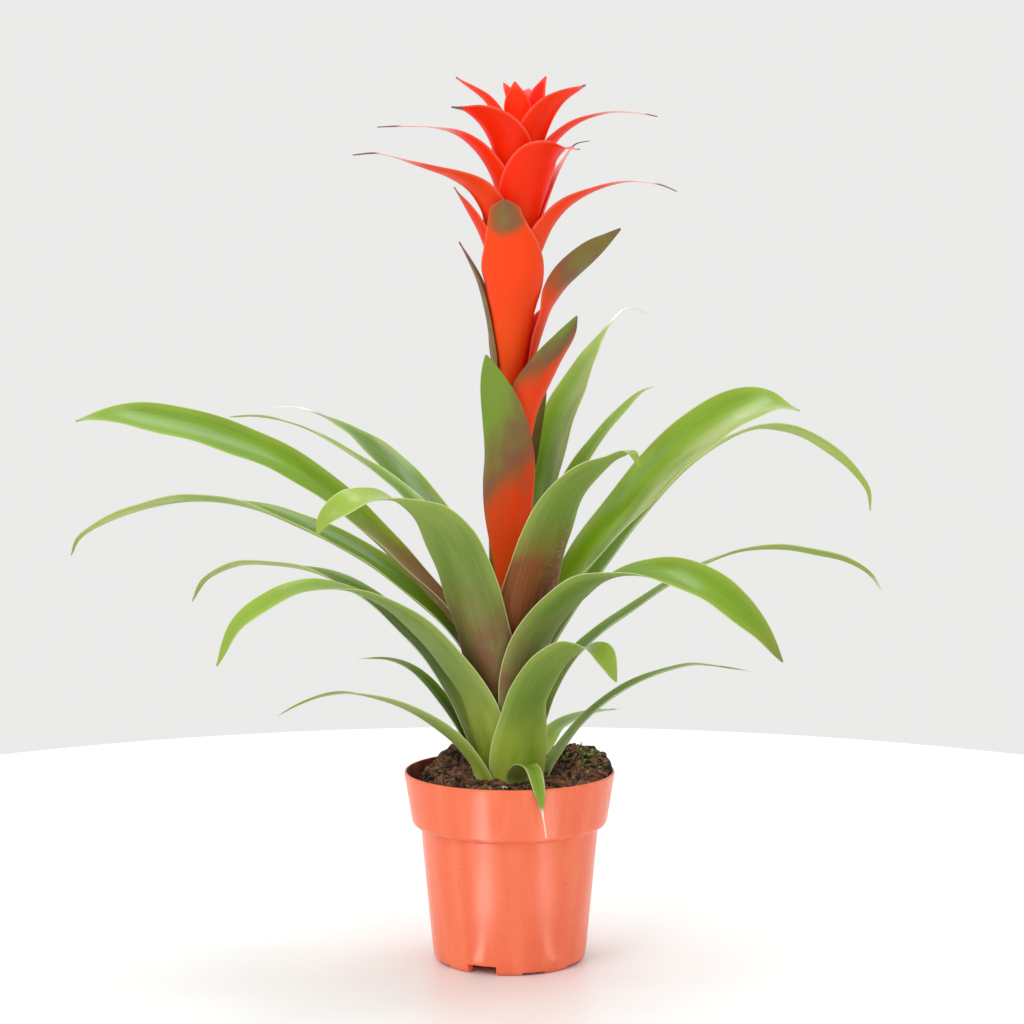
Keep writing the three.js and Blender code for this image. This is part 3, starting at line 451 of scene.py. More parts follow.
fibre_count = 260
fibre_points, fibre_faces, fibre_shade = scattered_lumps(
    random.uniform(0, 360, fibre_count), 24 + 30 * np.sqrt(random.uniform(0, 1, fibre_count)),
    random.uniform(0.7, 1.3, fibre_count),
    np.column_stack([random.uniform(2.5, 5, fibre_count), np.full((fibre_count, 2), 0.35)]), 0.9)
piece("bark_fibres", fibre_points, fibre_faces,
      [crumbs_of("shredded_bark", "#4A2A1C", "#A8795C", 0.85)], "soil", shade=fibre_shade)

moss_count = 620
moss_points, moss_faces, moss_shade = scattered_lumps(
    np.concatenate([random.normal(18, 14, moss_count - 40), random.normal(-105, 16, 40)]),
    random.uniform(40, 55, moss_count), random.uniform(0.4, 1.25, moss_count),
    random.uniform(0.5, 1.4, (moss_count, 3)), 0.9)
piece("moss_tufts", moss_points, moss_faces,
      [crumbs_of("peat_moss_green", "#4E5424", "#9AA257", 0.85)], "soil", shade=moss_shade)

perlite_places = np.array([(-93, 46), (-96, 43), (-84, 49)])
perlite_points, perlite_faces, perlite_shade = scattered_lumps(
    perlite_places[:, 0], perlite_places[:, 1], np.array([1.7, 1.2, 1.0]),
    np.array([(1.4, 0.8, 0.8)] * 3), 0.9)
piece("perlite_grains", perlite_points, perlite_faces,
      [crumbs_of("expanded_perlite", "#CFC9BE", "#F1EEE6", 0.8)], "soil", shade=perlite_shade)

# ---------------------------------------------------------------- stem
# The leaf-bearing stem and the upright flower stalk, one smooth fleshy green shaft. Sheaths and
# bracts hide nearly all of it. The head of the plant leans a few millimetres towards +X.

CROWN_RADIUS = 6.5
CROWN_BASE = 68
SCAPE_TOP = 462
HEAD_LEAN, LEAN_FROM, LEAN_TO = 6, 310, 480


def through(knots, x):
    """A smooth curve through (position, value) knots: a cubic whose slopes are the neighbours' chords."""
    at, value = np.array(knots, float).T
    last = len(at) - 1
    slope = np.array([(value[min(k + 1, last)] - value[max(k - 1, 0)])
                      / (at[min(k + 1, last)] - at[max(k - 1, 0)]) for k in range(last + 1)])
    x = np.clip(x, at[0], at[-1])
    i = np.clip(np.searchsorted(at, x, side="left") - 1, 0, last - 1)
    span = at[i + 1] - at[i]
    t = (x - at[i]) / span
    return (value[i] * (1 + 2 * t) * (1 - t) ** 2 + slope[i] * span * t * (1 - t) ** 2
            + value[i + 1] * t * t * (3 - 2 * t) + slope[i + 1] * span * t * t * (t - 1))


def leaned(points):
    """The points moved along +X by the head's lean at their height."""
    shift = HEAD_LEAN * eased(points[..., 2], LEAN_FROM, LEAN_TO)
    return points + np.stack([shift, 0 * shift, 0 * shift], -1)


def stem_radius(height):
    """Radius of the shaft at each height: a smooth taper, quicker below the bud."""
    return through(((112, CROWN_RADIUS), (130, 5.6), (230, 5), (330, 4.3), (400, 3.5), (450, 2.4),
                    (SCAPE_TOP, 1.2)), height)


def stem_surface():
    """A round shaft: stem_radius turned about the axis, closed at its base and drawn in at its top."""
    height = np.concatenate([[CROWN_BASE, CROWN_BASE], np.linspace(CROWN_BASE + 1, SCAPE_TOP, 90)])
    radius = np.concatenate([[0.01], stem_radius(height[1:])])
    radius[-1] = 0.01
    turn = np.radians(np.arange(0, 360, 12))[None, :]
    radius, height = radius[:, None], height[:, None]
    points = np.stack(np.broadcast_arrays(radius * np.cos(turn), radius * np.sin(turn), height), -1)
    faces = grid_faces(points.shape[0], points.shape[1], wrapped=True)[:, ::-1]
    return leaned(points).reshape(-1, 3), faces


def fleshy_stalk():
    """Pale green stalk tissue, a little glossy, with fine lines along it about 1.1 mm apart."""
    material, shader = finish_named("fleshy_green_stalk")
    place = add(material, "ShaderNodeTexCoord", output="Object")
    upright = add(material, "ShaderNodeMapping", {"Vector": place, "Scale": (1, 1, 0.05)})
    lines = add(material, "ShaderNodeTexNoise", {"Vector": upright, "Scale": cells(1.1111), "Detail": 2})
    colour = layered(material, "#8FA351", ("#B4BE72", lines))
    bump = add(material, "ShaderNodeBump", {"Height": lines, "Strength": 0.3, "Distance": 0.2 * MM})
    fill(material, shader, {"Base Color": colour, "Roughness": 0.45, "IOR": 1.4, "Normal": bump})
    return material


stem_points, stem_faces = stem_surface()
piece("flower_stem", stem_points, stem_faces, [fleshy_stalk()], "stem", replaced=["stem"])

# ---------------------------------------------------------------- leaves
# Strap leaves of a bromeliad rosette: leathery, waxy and about 0.7 mm thick, thinner at the margins.
# Each wraps the stem with its sheath, then opens into a shallow channel and arches over. The upper
# face is glossy green, the outer face dusty with scales; some tips have dried to a pale thread.

BLADE_THICKNESS = 0.7
MARGIN_THICKNESS = 0.28
THREAD_THICKNESS = 0.95
SHEATH_TURNS = (0, 30, 60, 90)        # the sheath's rib is a quarter of an ellipse through these
PARTING, WIDE_PARTING = 34, 45        # mm over which a blade leaves the stem; wide leaves take longer
WIDE_LEAF = 24
LEAF_WAVE = 0.012                     # height of the margin's waves, as a share of the width
OUTER_RING, RING_STEP, RING_RISE = 22.5, 1.5, 3.3
OUTER_ATTACH, OUTER_SHEATH_TOP = 78, 105
SHEATH_START_RADIUS = CROWN_RADIUS + 0.6

# Widths along the free part of a blade, as shares of its greatest width.
STRAP = ((0, 0.86), (0.2, 0.97), (0.42, 1), (0.66, 0.9), (0.84, 0.62), (0.95, 0.26), (1, 0.03))
LANCE = ((0, 0.84), (0.22, 1), (0.48, 0.88), (0.7, 0.56), (0.84, 0.2), (0.93, 0.07), (1, 0.03))
TAILED = ((0, 0.84), (0.22, 0.97), (0.46, 1), (0.62, 0.82), (0.74, 0.42), (0.82, 0.12), (1, 0.03))
BLUNT = ((0, 0.84), (0.2, 0.96), (0.5, 1), (0.75, 0.98), (0.88, 0.86), (0.95, 0.56), (1, 0.05))
OVATE = ((0, 0.9), (0.25, 1), (0.45, 0.92), (0.7, 0.66), (0.85, 0.42), (0.95, 0.18), (1, 0.03))
RIBBON = ((0, 0.84), (0.22, 1), (0.5, 0.8), (0.72, 0.56), (0.86, 0.4), (0.94, 0.18), (1, 0.03))
BOAT = ((0, 0.96), (0.3, 1), (0.58, 0.95), (0.78, 0.76), (0.92, 0.38), (1, 0.04))


def smooth_path(points, shares):
    """Points at shares (0 to 1, even in parameter) of a centripetal Catmull-Rom curve."""
    p = np.array(points, float)
    p = np.concatenate([[2 * p[0] - p[1]], p, [2 * p[-1] - p[-2]]])
    at = np.clip(shares, 0, 1) * (len(points) - 1)
    i = np.minimum(at.astype(int), len(points) - 2)
    w = (at - i)[:, None]
    d = np.sqrt(np.linalg.norm(np.diff(p, axis=0), axis=1))
    before, here, after = d[i][:, None], d[i + 1][:, None], d[i + 2][:, None]
    a, b, c, e = p[i], p[i + 1], p[i + 2], p[i + 3]
    start = ((b - a) / before - (c - a) / (before + here) + (c - b) / here) * here
    stop = ((c - b) / here - (e - b) / (here + after) + (e - c) / after) * here
    return (b + start * w + (3 * (c - b) - 2 * start - stop) * w ** 2
            + (2 * (b - c) + start + stop) * w ** 3)


def turned_about(vectors, axes, angles):
    """Each vector turned about its own unit axis by its own angle (Rodrigues' formula)."""
    cos, sin = np.cos(angles)[..., None], np.sin(angles)[..., None]
    along = np.sum(vectors * axes, -1, keepdims=True)
    return vectors * cos + np.cross(axes, vectors) * sin + axes * along * (1 - cos)


def blade(rib, sheath_points, sheath_radius, wrap, wide, shape, dish, parting, roll=((0, 0), (1, 0)),
          wave=0.0, rows=150, half_columns=14):
    """A closed blade in its own frame, with +X outwards.

    Rows follow the rib by arc length. In the sheath a row is an arc about the plant's axis; in the
    free part it is an arc of radius bend through the rib, turned about it by roll; the two are blended
    over the first parting mm. Each face stands half of the thickness off that middle surface, and
    the thickness falls to the margin's by the fourth power; threads narrower than 5 mm are rolled
    up, and so thicker. Columns run up one face and back down the other. Also returned, point by
    point: share of the free part, place across (-1 to 1), which face (1 inner, 0 outer), mm along,
    mm across, and mm from the margin.
    """
    rib = np.array([(out, side[0] if side else 0, height) for out, height, *side in rib], float)
    fine = np.linspace(0, 1, 801)
    path = smooth_path(rib, fine)
    length = np.concatenate([[0], np.cumsum(np.linalg.norm(np.diff(path, axis=0), axis=1))])
    sheath_end = np.interp((sheath_points - 1) / (len(rib) - 1), fine, length)
    travelled = np.linspace(0, length[-1], rows)
    share = np.interp(travelled, length, fine)
    middle = smooth_path(rib, share)
    ahead = smooth_path(rib, share + 1e-3) - smooth_path(rib, share - 1e-3)
    tangent = ahead / np.linalg.norm(ahead, axis=1, keepdims=True)
    free = np.clip((travelled - sheath_end) / (length[-1] - sheath_end), 0, 1)
    parted = eased(travelled, sheath_end, sheath_end + parting)[:, None, None]
    across = np.array([0, 1, 0]) - tangent * tangent[:, 1:2]
    across /= np.linalg.norm(across, axis=1, keepdims=True)
    across = turned_about(across, tangent, np.radians(through(roll, free)))
    inner = np.cross(tangent, across)
    width = np.maximum(wide * through(shape, free), 0.5)[:, None]
    bend = through(((0, sheath_radius), (0.45, dish), (1, dish * 1.25)), free)[:, None]
    v = np.sin(np.linspace(-0.5, 0.5, 2 * half_columns + 1) * np.pi)[None, :]
    spin = np.radians(v * wrap) * np.ones_like(width)
    wrapped = turned_about(np.repeat(middle[:, None], v.size, 1), np.array([0, 0, 1.0]), spin)
    arc = v * width / (2 * bend)
    channel = (middle[:, None] + (bend * np.sin(arc))[..., None] * across[:, None]
               + (bend * (1 - np.cos(arc)))[..., None] * inner[:, None])
    grid = wrapped + (channel - wrapped) * parted
    normal = np.cross(np.gradient(grid, axis=0), np.gradient(grid, axis=1))
    normal /= np.linalg.norm(normal, axis=-1, keepdims=True)
    ripple = np.abs(v) ** 3 * np.sin(travelled[:, None] / 6.5 + 2.2 * np.sign(v) + wide)
    fade = eased(free, 0.05, 0.3) * (1 - eased(free, 0.85, 1))
    grid = grid + normal * (wave * ripple * fade[:, None])[..., None]
    thin = np.minimum(BLADE_THICKNESS, MARGIN_THICKNESS + width * 0.12)
    rolled_up = np.minimum(width * 0.55, THREAD_THICKNESS) * (1 - eased(width, 2.5, 5))
    thin = np.maximum(thin, rolled_up)
    half = (MARGIN_THICKNESS + (thin - MARGIN_THICKNESS) * (1 - v ** 4))[..., None] / 2
    loop = np.concatenate([grid + normal * half, (grid - normal * half)[:, ::-1]], axis=1)

    count = loop.shape[1]
    faces = grid_faces(rows, count, wrapped=True)
    j = np.arange(v.size - 1)
    base_cap = np.stack([j, j + 1, count - 2 - j, count - 1 - j], -1)
    tip_cap = base_cap[:, ::-1] + (rows - 1) * count
    faces = np.concatenate([faces, base_cap, tip_cap])

    span = np.concatenate([v, v[:, ::-1]], 1) * np.ones_like(width)
    ends = travelled[-1] - travelled[:, None]
    from_margin = np.minimum((1 - np.abs(span)) * width / 2, 0.35 * ends)
    face = np.where(np.arange(count) < v.size, 1.0, 0.0)[None, :] * np.ones_like(width)
    spread = np.ones((1, count))
    return dict(
        points=loop, faces=faces,
        blade=np.stack([free[:, None] * spread, span, face], -1).reshape(-1, 3),
        ribbon=np.stack([travelled[:, None] * spread, span * width / 2, from_margin], -1).reshape(-1, 3))


def about_axis(points, azimuth):
    """Points turned about the plant's axis by azimuth degrees."""
    a = math.radians(azimuth)
    turn = np.array([(math.cos(a), math.sin(a), 0), (-math.sin(a), math.cos(a), 0), (0, 0, 1)])
    return points @ turn


# One row for each leaf. azimuth is in degrees and wrap is half of the turn that its sheath takes;
# ring 0 is the outermost; wide, and dish, the radius of its channel, are in mm; roll is (share of the
# free part, degrees). free has the rib's points (outwards, height, sideways) in mm, read off the
# photograph, or guessed where it hides the leaf. paint is how bright the upper face is, how pale and
# dusty the outer face (past 1 the pale tint also greys the near half of the upper face), and how pale
# the end. These are set leaf by leaf and are partly painted light: leaves in shade are coloured darker,
# and outer faces that light shines through paler. tail is the share of the free part past which it
# has dried; flush is (amount, from this height, to this one), and pink its second tint.
LEAVES = [
    dict(name="leaf_01", azimuth=232, ring=0, wrap=15, wide=14, shape=LANCE, dish=13,
         paint=(0.5, 0.6, 0.1), tail=0.97, free=((28.5, 122, -9), (40, 135.5, -19),
         (53.5, 146, -29), (69.4, 153.5, -38), (85.6, 158, -46), (98, 157.4, -54),
         (110, 153.4, -61), (120, 145.5, -71))),
    dict(name="leaf_02", azimuth=11, ring=0, wrap=24, wide=15, shape=LANCE, dish=14,
         paint=(0.4, 0.4, 0.1), tail=0.95, free=((35, 125), (47, 138), (62, 149), (77, 157),
         (95, 163), (110, 165.3), (137, 161.5), (147, 159.5))),
    dict(name="leaf_03", azimuth=-80, ring=0, wrap=14, wide=9, shape=TAILED, dish=8,
         paint=(0.6, 0.4, 0), tail=0.8, free=((30, 112, 0), (38, 117, 1), (47, 118.5, 2.5),
         (55, 116.5, 4), (60.5, 108, 5.6), (62.5, 96, 7.2), (63.5, 82, 9.2))),
    dict(name="leaf_04", azimuth=105, ring=0, wrap=34, wide=15, shape=LANCE, dish=14,
         paint=(0.3, 0.3, 0), free=((34, 124), (48, 138), (66, 150), (88, 158), (108, 156),
         (122, 149))),
    dict(name="leaf_05", azimuth=56, ring=1, wrap=22, wide=13, shape=LANCE, dish=14,
         paint=(0.15, 0.2, 0), tail=0.84, free=((28, 114.5), (40, 121.5), (55, 126), (75, 128.5),
         (96, 128.3), (119, 126.5), (134, 124.5))),
    dict(name="leaf_06", azimuth=-72, ring=1, wrap=50, wide=27, shape=STRAP, dish=17,
         paint=(0.55, 0.08, 0.4), free=((24, 122), (28, 136), (35, 151), (44, 165, 4),
         (55, 177.5, 10), (68, 186, 18), (80, 184.5, 26), (87, 169.5, 32))),
    dict(name="leaf_07", azimuth=224, ring=3, wrap=39, wide=31, shape=OVATE, dish=26, roll=((0, 0),
         (0.35, -2), (0.55, -8), (0.8, -12), (1, -16)), paint=(0.55, 0.24, 0.4),
         flush=(0.2, 120, 150), free=((21.5, 128, 0), (29, 148, 1), (42, 168, -3), (58, 187.5, -8),
         (73, 202.5, -15), (87, 211.5, -21), (103, 217.5, -25), (122, 219, -30.5),
         (138, 215.5, -35), (158, 201, -45), (167, 179, -51.5))),
    dict(name="leaf_08", azimuth=170, ring=1, wrap=36, wide=15.5, shape=LANCE, dish=14,
         roll=((0, 0), (0.5, -12), (1, -10)), paint=(0.2, 0.45, 0.1), tail=0.96, free=((25, 122),
         (31, 133.5), (39, 145.5), (48, 156.5), (58, 165), (70, 169.8), (89, 169.5))),
    dict(name="leaf_09", azimuth=-52, ring=3, wrap=38, wide=31, shape=STRAP, dish=22, roll=((0, 0),
         (0.35, -4), (0.48, 0), (0.6, 13), (0.75, 24), (1, 18)), paint=(0.6, 0.2, 0.15),
         flush=(0.95, 142, 190), free=((19, 130, -3), (22, 146, -7), (27, 165, -10),
         (35, 183, -9.5), (45, 198, -5), (57, 210.5, 0), (69, 219.5, 5), (85, 225.5, 10),
         (103, 228, 15.7), (119, 226.5, 22.8), (133, 221, 31.5), (144, 212, 39), (153, 200, 48),
         (161, 183, 57))),
    dict(name="leaf_10", azimuth=95, ring=2, wrap=34, wide=22, shape=STRAP, dish=20,
         paint=(0.3, 0.3, 0.1), free=((23, 130), (30, 150), (42, 171), (58, 190), (78, 204),
         (101, 212), (126, 212), (150, 203), (168, 188))),
    dict(name="leaf_11", azimuth=165, ring=2, wrap=32, wide=21, shape=STRAP, dish=18, roll=((0, 0),
         (0.4, -8), (0.55, -6), (0.68, 8), (1, 16)), paint=(0.15, 0.85, 0.1), free=((24.5, 126),
         (34, 147), (47, 168), (63, 185), (79, 199.5), (98, 211), (120, 218.5), (144.7, 221.5),
         (166.6, 220.5), (185.6, 211.5), (194, 198.5))),
    dict(name="leaf_12", azimuth=26, ring=4, wrap=34, wide=17, shape=RIBBON, dish=15, roll=((0, 0),
         (0.5, -10), (0.75, -24), (1, -22)), paint=(0.3, 0.25, 0.2), tail=0.97, free=((20, 132),
         (28, 151), (41, 169.5), (58, 183), (79, 195), (99, 206.3), (126, 219), (153, 226.5),
         (181, 227.5), (210, 223), (232, 217), (247, 208.7), (258, 194.5))),
    dict(name="leaf_13", azimuth=-116, ring=4, wrap=56, wide=38, shape=STRAP, dish=24, roll=((0, 0),
         (0.5, 4), (0.7, -6), (1, -24)), paint=(0.6, 0.2, 0.6), flush=(0.95, 140, 212),
         free=((18, 140, 0), (24.5, 160, -0.5), (36, 183, -0.5), (48, 206, -0.5), (62, 228, -1),
         (80, 247.4, -1), (100, 262, -4.5), (122, 270, -11), (138, 270, -22), (147, 262, -32.5),
         (149, 252.5, -37))),
    dict(name="leaf_14", azimuth=23, ring=6, wrap=32, wide=22, shape=OVATE, dish=18, roll=((0, 0),
         (0.6, -10), (1, -34)), paint=(0.6, 1.0, 0.7), flush=(0.5, 135, 185), free=((14, 148),
         (20, 167), (35, 191), (55, 217), (81.5, 248), (113.6, 278.5), (146, 296.5), (163, 300.5),
         (180, 299), (197, 293.5), (213.6, 284), (227, 273), (236.5, 261), (238, 249))),
    dict(name="leaf_15", azimuth=167, ring=5, wrap=44, wide=25, shape=STRAP, dish=17, roll=((0, 0),
         (0.2, -12), (0.5, -10), (0.7, 10), (1, 14)), paint=(0.35, 0.95, 0.3), tail=1.04,
         flush=(0.3, 150, 175), free=((15.6, 145), (21, 167), (34, 187), (52.6, 203.5), (76, 221),
         (100, 234.5), (124.4, 245), (148.7, 253.5), (173, 258), (198, 258), (223, 253),
         (248.4, 244), (262.6, 234.5), (267, 225))),
    dict(name="leaf_16", azimuth=-64, ring=5, wrap=44, wide=40, shape=OVATE, dish=24,
         paint=(0.4, 0.12, 0.2), flush=(1.5, 140, 240), pink=0.9, free=((15.8, 145, -1),
         (20, 165, -2.5), (28, 187, -3.5), (36, 209, -3.2), (44, 227, -2.2), (52, 243.5, -1.5),
         (62, 260, 0), (76, 275, 3), (92, 285.5, 7.3), (106, 291, 10), (118, 294.5, 12.5),
         (125.5, 286.5, 14))),
    dict(name="leaf_17", azimuth=45, ring=8, wrap=22, wide=21, shape=RIBBON, dish=16,
         paint=(0.5, 0.6, 0.3), tail=0.97, free=((11.2, 150), (14.2, 184), (22, 214), (36, 250),
         (59, 281), (75, 296), (93, 310), (110, 321), (127, 326))),
    dict(name="leaf_18", azimuth=8, ring=7, wrap=40, wide=35, shape=BLUNT, dish=24, roll=((0, 0),
         (0.2, 2), (0.45, 22), (0.7, 38), (0.9, 36), (1, 14)), paint=(0.85, 1.8, 0.2),
         flush=(0.5, 140, 215), free=((12.6, 150), (16.5, 172), (24, 192), (36, 212.5), (52, 236),
         (70, 256.5), (87, 276.5), (109, 297), (132, 311.5), (151, 316.5), (168, 312))),
    dict(name="leaf_19", azimuth=186, ring=6, wrap=52, wide=31, shape=BLUNT, dish=24, roll=((0, 0),
         (0.2, -6), (0.4, -18), (0.6, -30), (0.88, -34), (1, -12)), paint=(0.6, 0.7, 0.1),
         tail=1.04, flush=(0.85, 160, 248), pink=0.2, free=((13.9, 150), (20.6, 176), (37, 199),
         (60, 224.5), (84.4, 249.5), (106.7, 268.5), (129, 283), (151, 293), (173, 301),
         (195, 306.5), (217, 310), (232, 309.5), (241, 307.5))),
    dict(name="leaf_20", azimuth=142, ring=8, wrap=34, wide=22, shape=RIBBON, dish=16, roll=((0, 0),
         (0.5, 4), (0.7, 14), (1, 16)), paint=(0.3, 0.55, 0.2), flush=(0.4, 150, 235),
         free=((11, 155), (13.5, 178), (21, 198), (35, 219), (55, 242), (77, 261), (96, 272.5),
         (112, 280.5), (130, 288.5), (153, 297.5), (176, 303), (200, 305.5), (222, 304.5))),
    dict(name="leaf_21", azimuth=57, ring=9.3, wrap=18, wide=29, shape=TAILED, dish=19,
         paint=(0.6, 1.8, 0.5), tail=0.84, flush=(0.3, 150, 210), free=((9.3, 152), (12.2, 190),
         (22, 235.4), (35, 269), (50, 299), (70, 325), (92, 348), (112, 363), (129, 371),
         (143, 371.5), (158, 368.5))),
    dict(name="leaf_22", azimuth=128, ring=7, wrap=40, wide=29, shape=TAILED, dish=21,
         paint=(0.1, 0.3, 0.0), tail=0.86, flush=(0.5, 150, 225), free=((12.6, 152), (16, 172),
         (22, 188), (36, 206), (55, 225), (74, 245), (95, 261), (119, 277), (151, 293), (184, 303),
         (217, 309), (250, 309))),
    dict(name="leaf_23", azimuth=106, ring=10, wrap=16, wide=18, shape=STRAP, dish=20,
         paint=(0, 0, 0), free=((7.7, 165), (10, 200), (15, 235), (22, 262, -2), (34, 285, -8),
         (50, 299, -16), (68, 303, -24))),
]


def numbers(material, attribute):
    """The three numbers of a piece's own point attribute, as three sockets."""
    vector = add(material, "ShaderNodeAttribute", output="Vector", attribute_name=attribute)
    return [add(material, "ShaderNodeSeparateXYZ", {0: vector}, part) for part in range(3)]


def drawn_out(material, length, width, roughness=0.5):
    """Noise drawn out along the blade: its cells are length mm along it and width mm across it."""
    ribbon = add(material, "ShaderNodeAttribute", output="Vector", attribute_name="ribbon")
    drawn = add(material, "ShaderNodeMapping",
                {"Vector": ribbon, "Scale": (1 / length, 1 / width, 0)})
    return add(material, "ShaderNodeTexNoise",
               {"Vector": drawn, "Scale": 1.0, "Detail": 3, "Roughness": roughness})


def waxy_strap_leaf():
    """Living leaf with a cuticle of wax: parallel veins every 1.3 mm (drawn coarser than real ones so
    that they show), scales as fine dust on its outer face, a purple-brown flush over the sheath, a
    pale margin line that is partly a painted highlight along the edge, and a dry thread tip."""
    material, shader = finish_named("waxy_bromeliad_leaf")
    place = add(material, "ShaderNodeTexCoord", output="Object")
    free, _, inner_face = numbers(material, "blade")
    along, offset, margin = numbers(material, "ribbon")
    flush, dry, pink = numbers(material, "tone")
    bright, dust_and_backlight, glow = numbers(material, "paint")
    veins = drawn_out(material, 83.33, 1.3, 0.6)
    drift = drawn_out(material, 50, 11.11)
    dust, cloud, fleck = (
        add(material, "ShaderNodeTexNoise", {"Vector": place, "Scale": cells(size), "Detail": detail})
        for size, detail in ((0.66667, 2), (13.333, 4), (2.3256, 4)))

    # The outer face's pale tint is partly dust and partly painted backlight, light shining through the
    # leaf.
    outer = layered(material, "#627E16", ("#B4C083", dust_and_backlight), ("#B4BE84", (dust, 0.5, 0.75, 0, 0.07)))
    # The upper face's brightness is set leaf by leaf, partly as painted light and shade; past 1 the pale
    # tint also greys its near half.
    upper = layered(material, "#486606", ("#7CA80C", bright), ("#A9B483", (dust_and_backlight, 1, 2), (offset, 7, -11)))
    sheath_colour = layered(material, "#869E2A",
                            ("#ACBB44", (drift, 0.35, 0.65)),
                            ("#BCC868", (margin, 5, 0.8, 0, 0.55)))
    flush_colour = layered(material, "#80583A",
                           ("#8A4318", pink),
                           ("#9A6A55", (veins, 0.4, 0.7, 0, 0.35)))
    clouded = add(material, "ShaderNodeMath", {0: drift, 1: 1.3}, operation="MULTIPLY")
    clouded = add(material, "ShaderNodeMath", {0: cloud, 1: 1.1, 2: clouded}, operation="MULTIPLY_ADD")
    blotch = masked(material, flush, (clouded, 0.65, 1.5, 0.45, 1.25))
    blotch = add(material, "ShaderNodeMath", {0: blotch, 1: 0.95}, operation="MINIMUM")
    half_width = add(material, "ShaderNodeMath", {0: offset}, operation="ABSOLUTE")
    half_width = add(material, "ShaderNodeMath", {0: margin, 1: half_width}, operation="ADD")
    colour = layered(material, outer,
                     (upper, inner_face),
                     ("#5A7E1C", (drift, 0.38, 0.68, 0, 0.6)),
                     ("#A9BA5C", (veins, 0.4, 0.75, 0, 0.16)),
                     ("#AEC558", (free, 0.45, 0.95), glow),
                     ("#A2B650", (margin, 6.5, 0.6, 0, 0.42)),
                     (sheath_colour, (along, 112, 36, 0, 0.95), (free, 0.42, 0.06)),
                     (flush_colour, blotch),
                     ("#C08A78", (fleck, 0.52, 0.72), (offset, -4, 14), pink),
                     # A pale line along the margin: partly the leaf's own pale edge, partly a painted
                     # highlight where the edge catches light.
                     ("#DCE6AC", (margin, 0.7, 0.25, 0, 0.6), (half_width, 1.8, 4.5)),
                     ("#EFEADD", dry))
    bump = add(material, "ShaderNodeBump", {"Height": veins, "Strength": 0.2, "Distance": 0.3 * MM})
    fill(material, shader, {"Base Color": colour, "Normal": bump, "IOR": 1.45,
                            "Roughness": masked(material, (inner_face, 0, 1, 0.6, 0.29)),
                            "Specular IOR Level": 0.23})
    return material


leaf_finish = waxy_strap_leaf()
for leaf in LEAVES:
    ring_radius = OUTER_RING - leaf["ring"] * RING_STEP
    attach = OUTER_ATTACH + leaf["ring"] * RING_RISE
    top = OUTER_SHEATH_TOP + leaf["ring"] * RING_RISE
    turns = np.radians(SHEATH_TURNS)
    sheath = list(zip(SHEATH_START_RADIUS + (ring_radius - SHEATH_START_RADIUS) * np.sin(turns),
                      top + (attach - top) * np.cos(turns)))
    made = blade([*sheath, *leaf["free"]], len(sheath), ring_radius, leaf["wrap"], leaf["wide"],
                 leaf["shape"], leaf["dish"], WIDE_PARTING if leaf["wide"] > WIDE_LEAF else PARTING,
                 roll=leaf.get("roll", ((0, 0), (1, 0))), wave=leaf["wide"] * LEAF_WAVE)
    points = about_axis(made["points"].reshape(-1, 3), leaf["azimuth"])
    amount, flush_low, flush_high = leaf.get("flush", (0.0, 0, 1))
    height = points[:, 2]
    free = made["blade"][:, 0]
    flush = amount * eased(height, flush_low - 12, flush_low + 26) * (
        1 - eased(height, flush_high - 42, flush_high + 22))
    tail = leaf.get("tail", 2)
    dry = eased(free, tail - 0.04, tail + 0.03)
    pink = leaf.get("pink", 0) * eased(height, flush_low, flush_low + 20) * (
        1 - eased(height, flush_high - 10, flush_high + 40))
    tone = np.stack([flush, dry, pink], -1)
    paint = np.tile(np.array(leaf["paint"], float), (len(points), 1))
    piece("strap_" + leaf["name"], points, made["faces"], [leaf_finish], "leaf",
          replaced=[leaf["name"]], smooth_below=75, blade=made["blade"], ribbon=made["ribbon"],
          tone=tone, paint=paint)

# ---------------------------------------------------------------- bracts
# Modified leaves that clasp the flower stalk, each seated inside the one below. The lower ones are
# half leaf, green running through brown into orange-red; the upper ones are waxy scarlet, and many
# end in a long thread that pales to pink-white and dries grey-brown at its end.

FLARE, FLARE_POWER, CLASP_GAP = 0.33, 0.87, 0.65
CLASP_RISES = (0, 12, 26, 40)         # mm above the joint where the clasping part has rib points
CLASP_CLEAR = 8                       # the last of them stays this far below the free part
BRACT_WAVE = 0.008
HOOD = ((0, 0.96), (0.2, 1), (0.38, 0.95), (0.5, 0.82), (0.67, 0.6), (0.82, 0.44), (0.93, 0.34),
        (1, 0.08))
PETAL = ((0, 0.94), (0.3, 1), (0.55, 0.88), (0.78, 0.56), (0.92, 0.24), (1, 0.05))
SPEAR = ((0, 0.96), (0.2, 1), (0.42, 0.8), (0.6, 0.42), (0.76, 0.14), (0.88, 0.07), (1, 0.04))

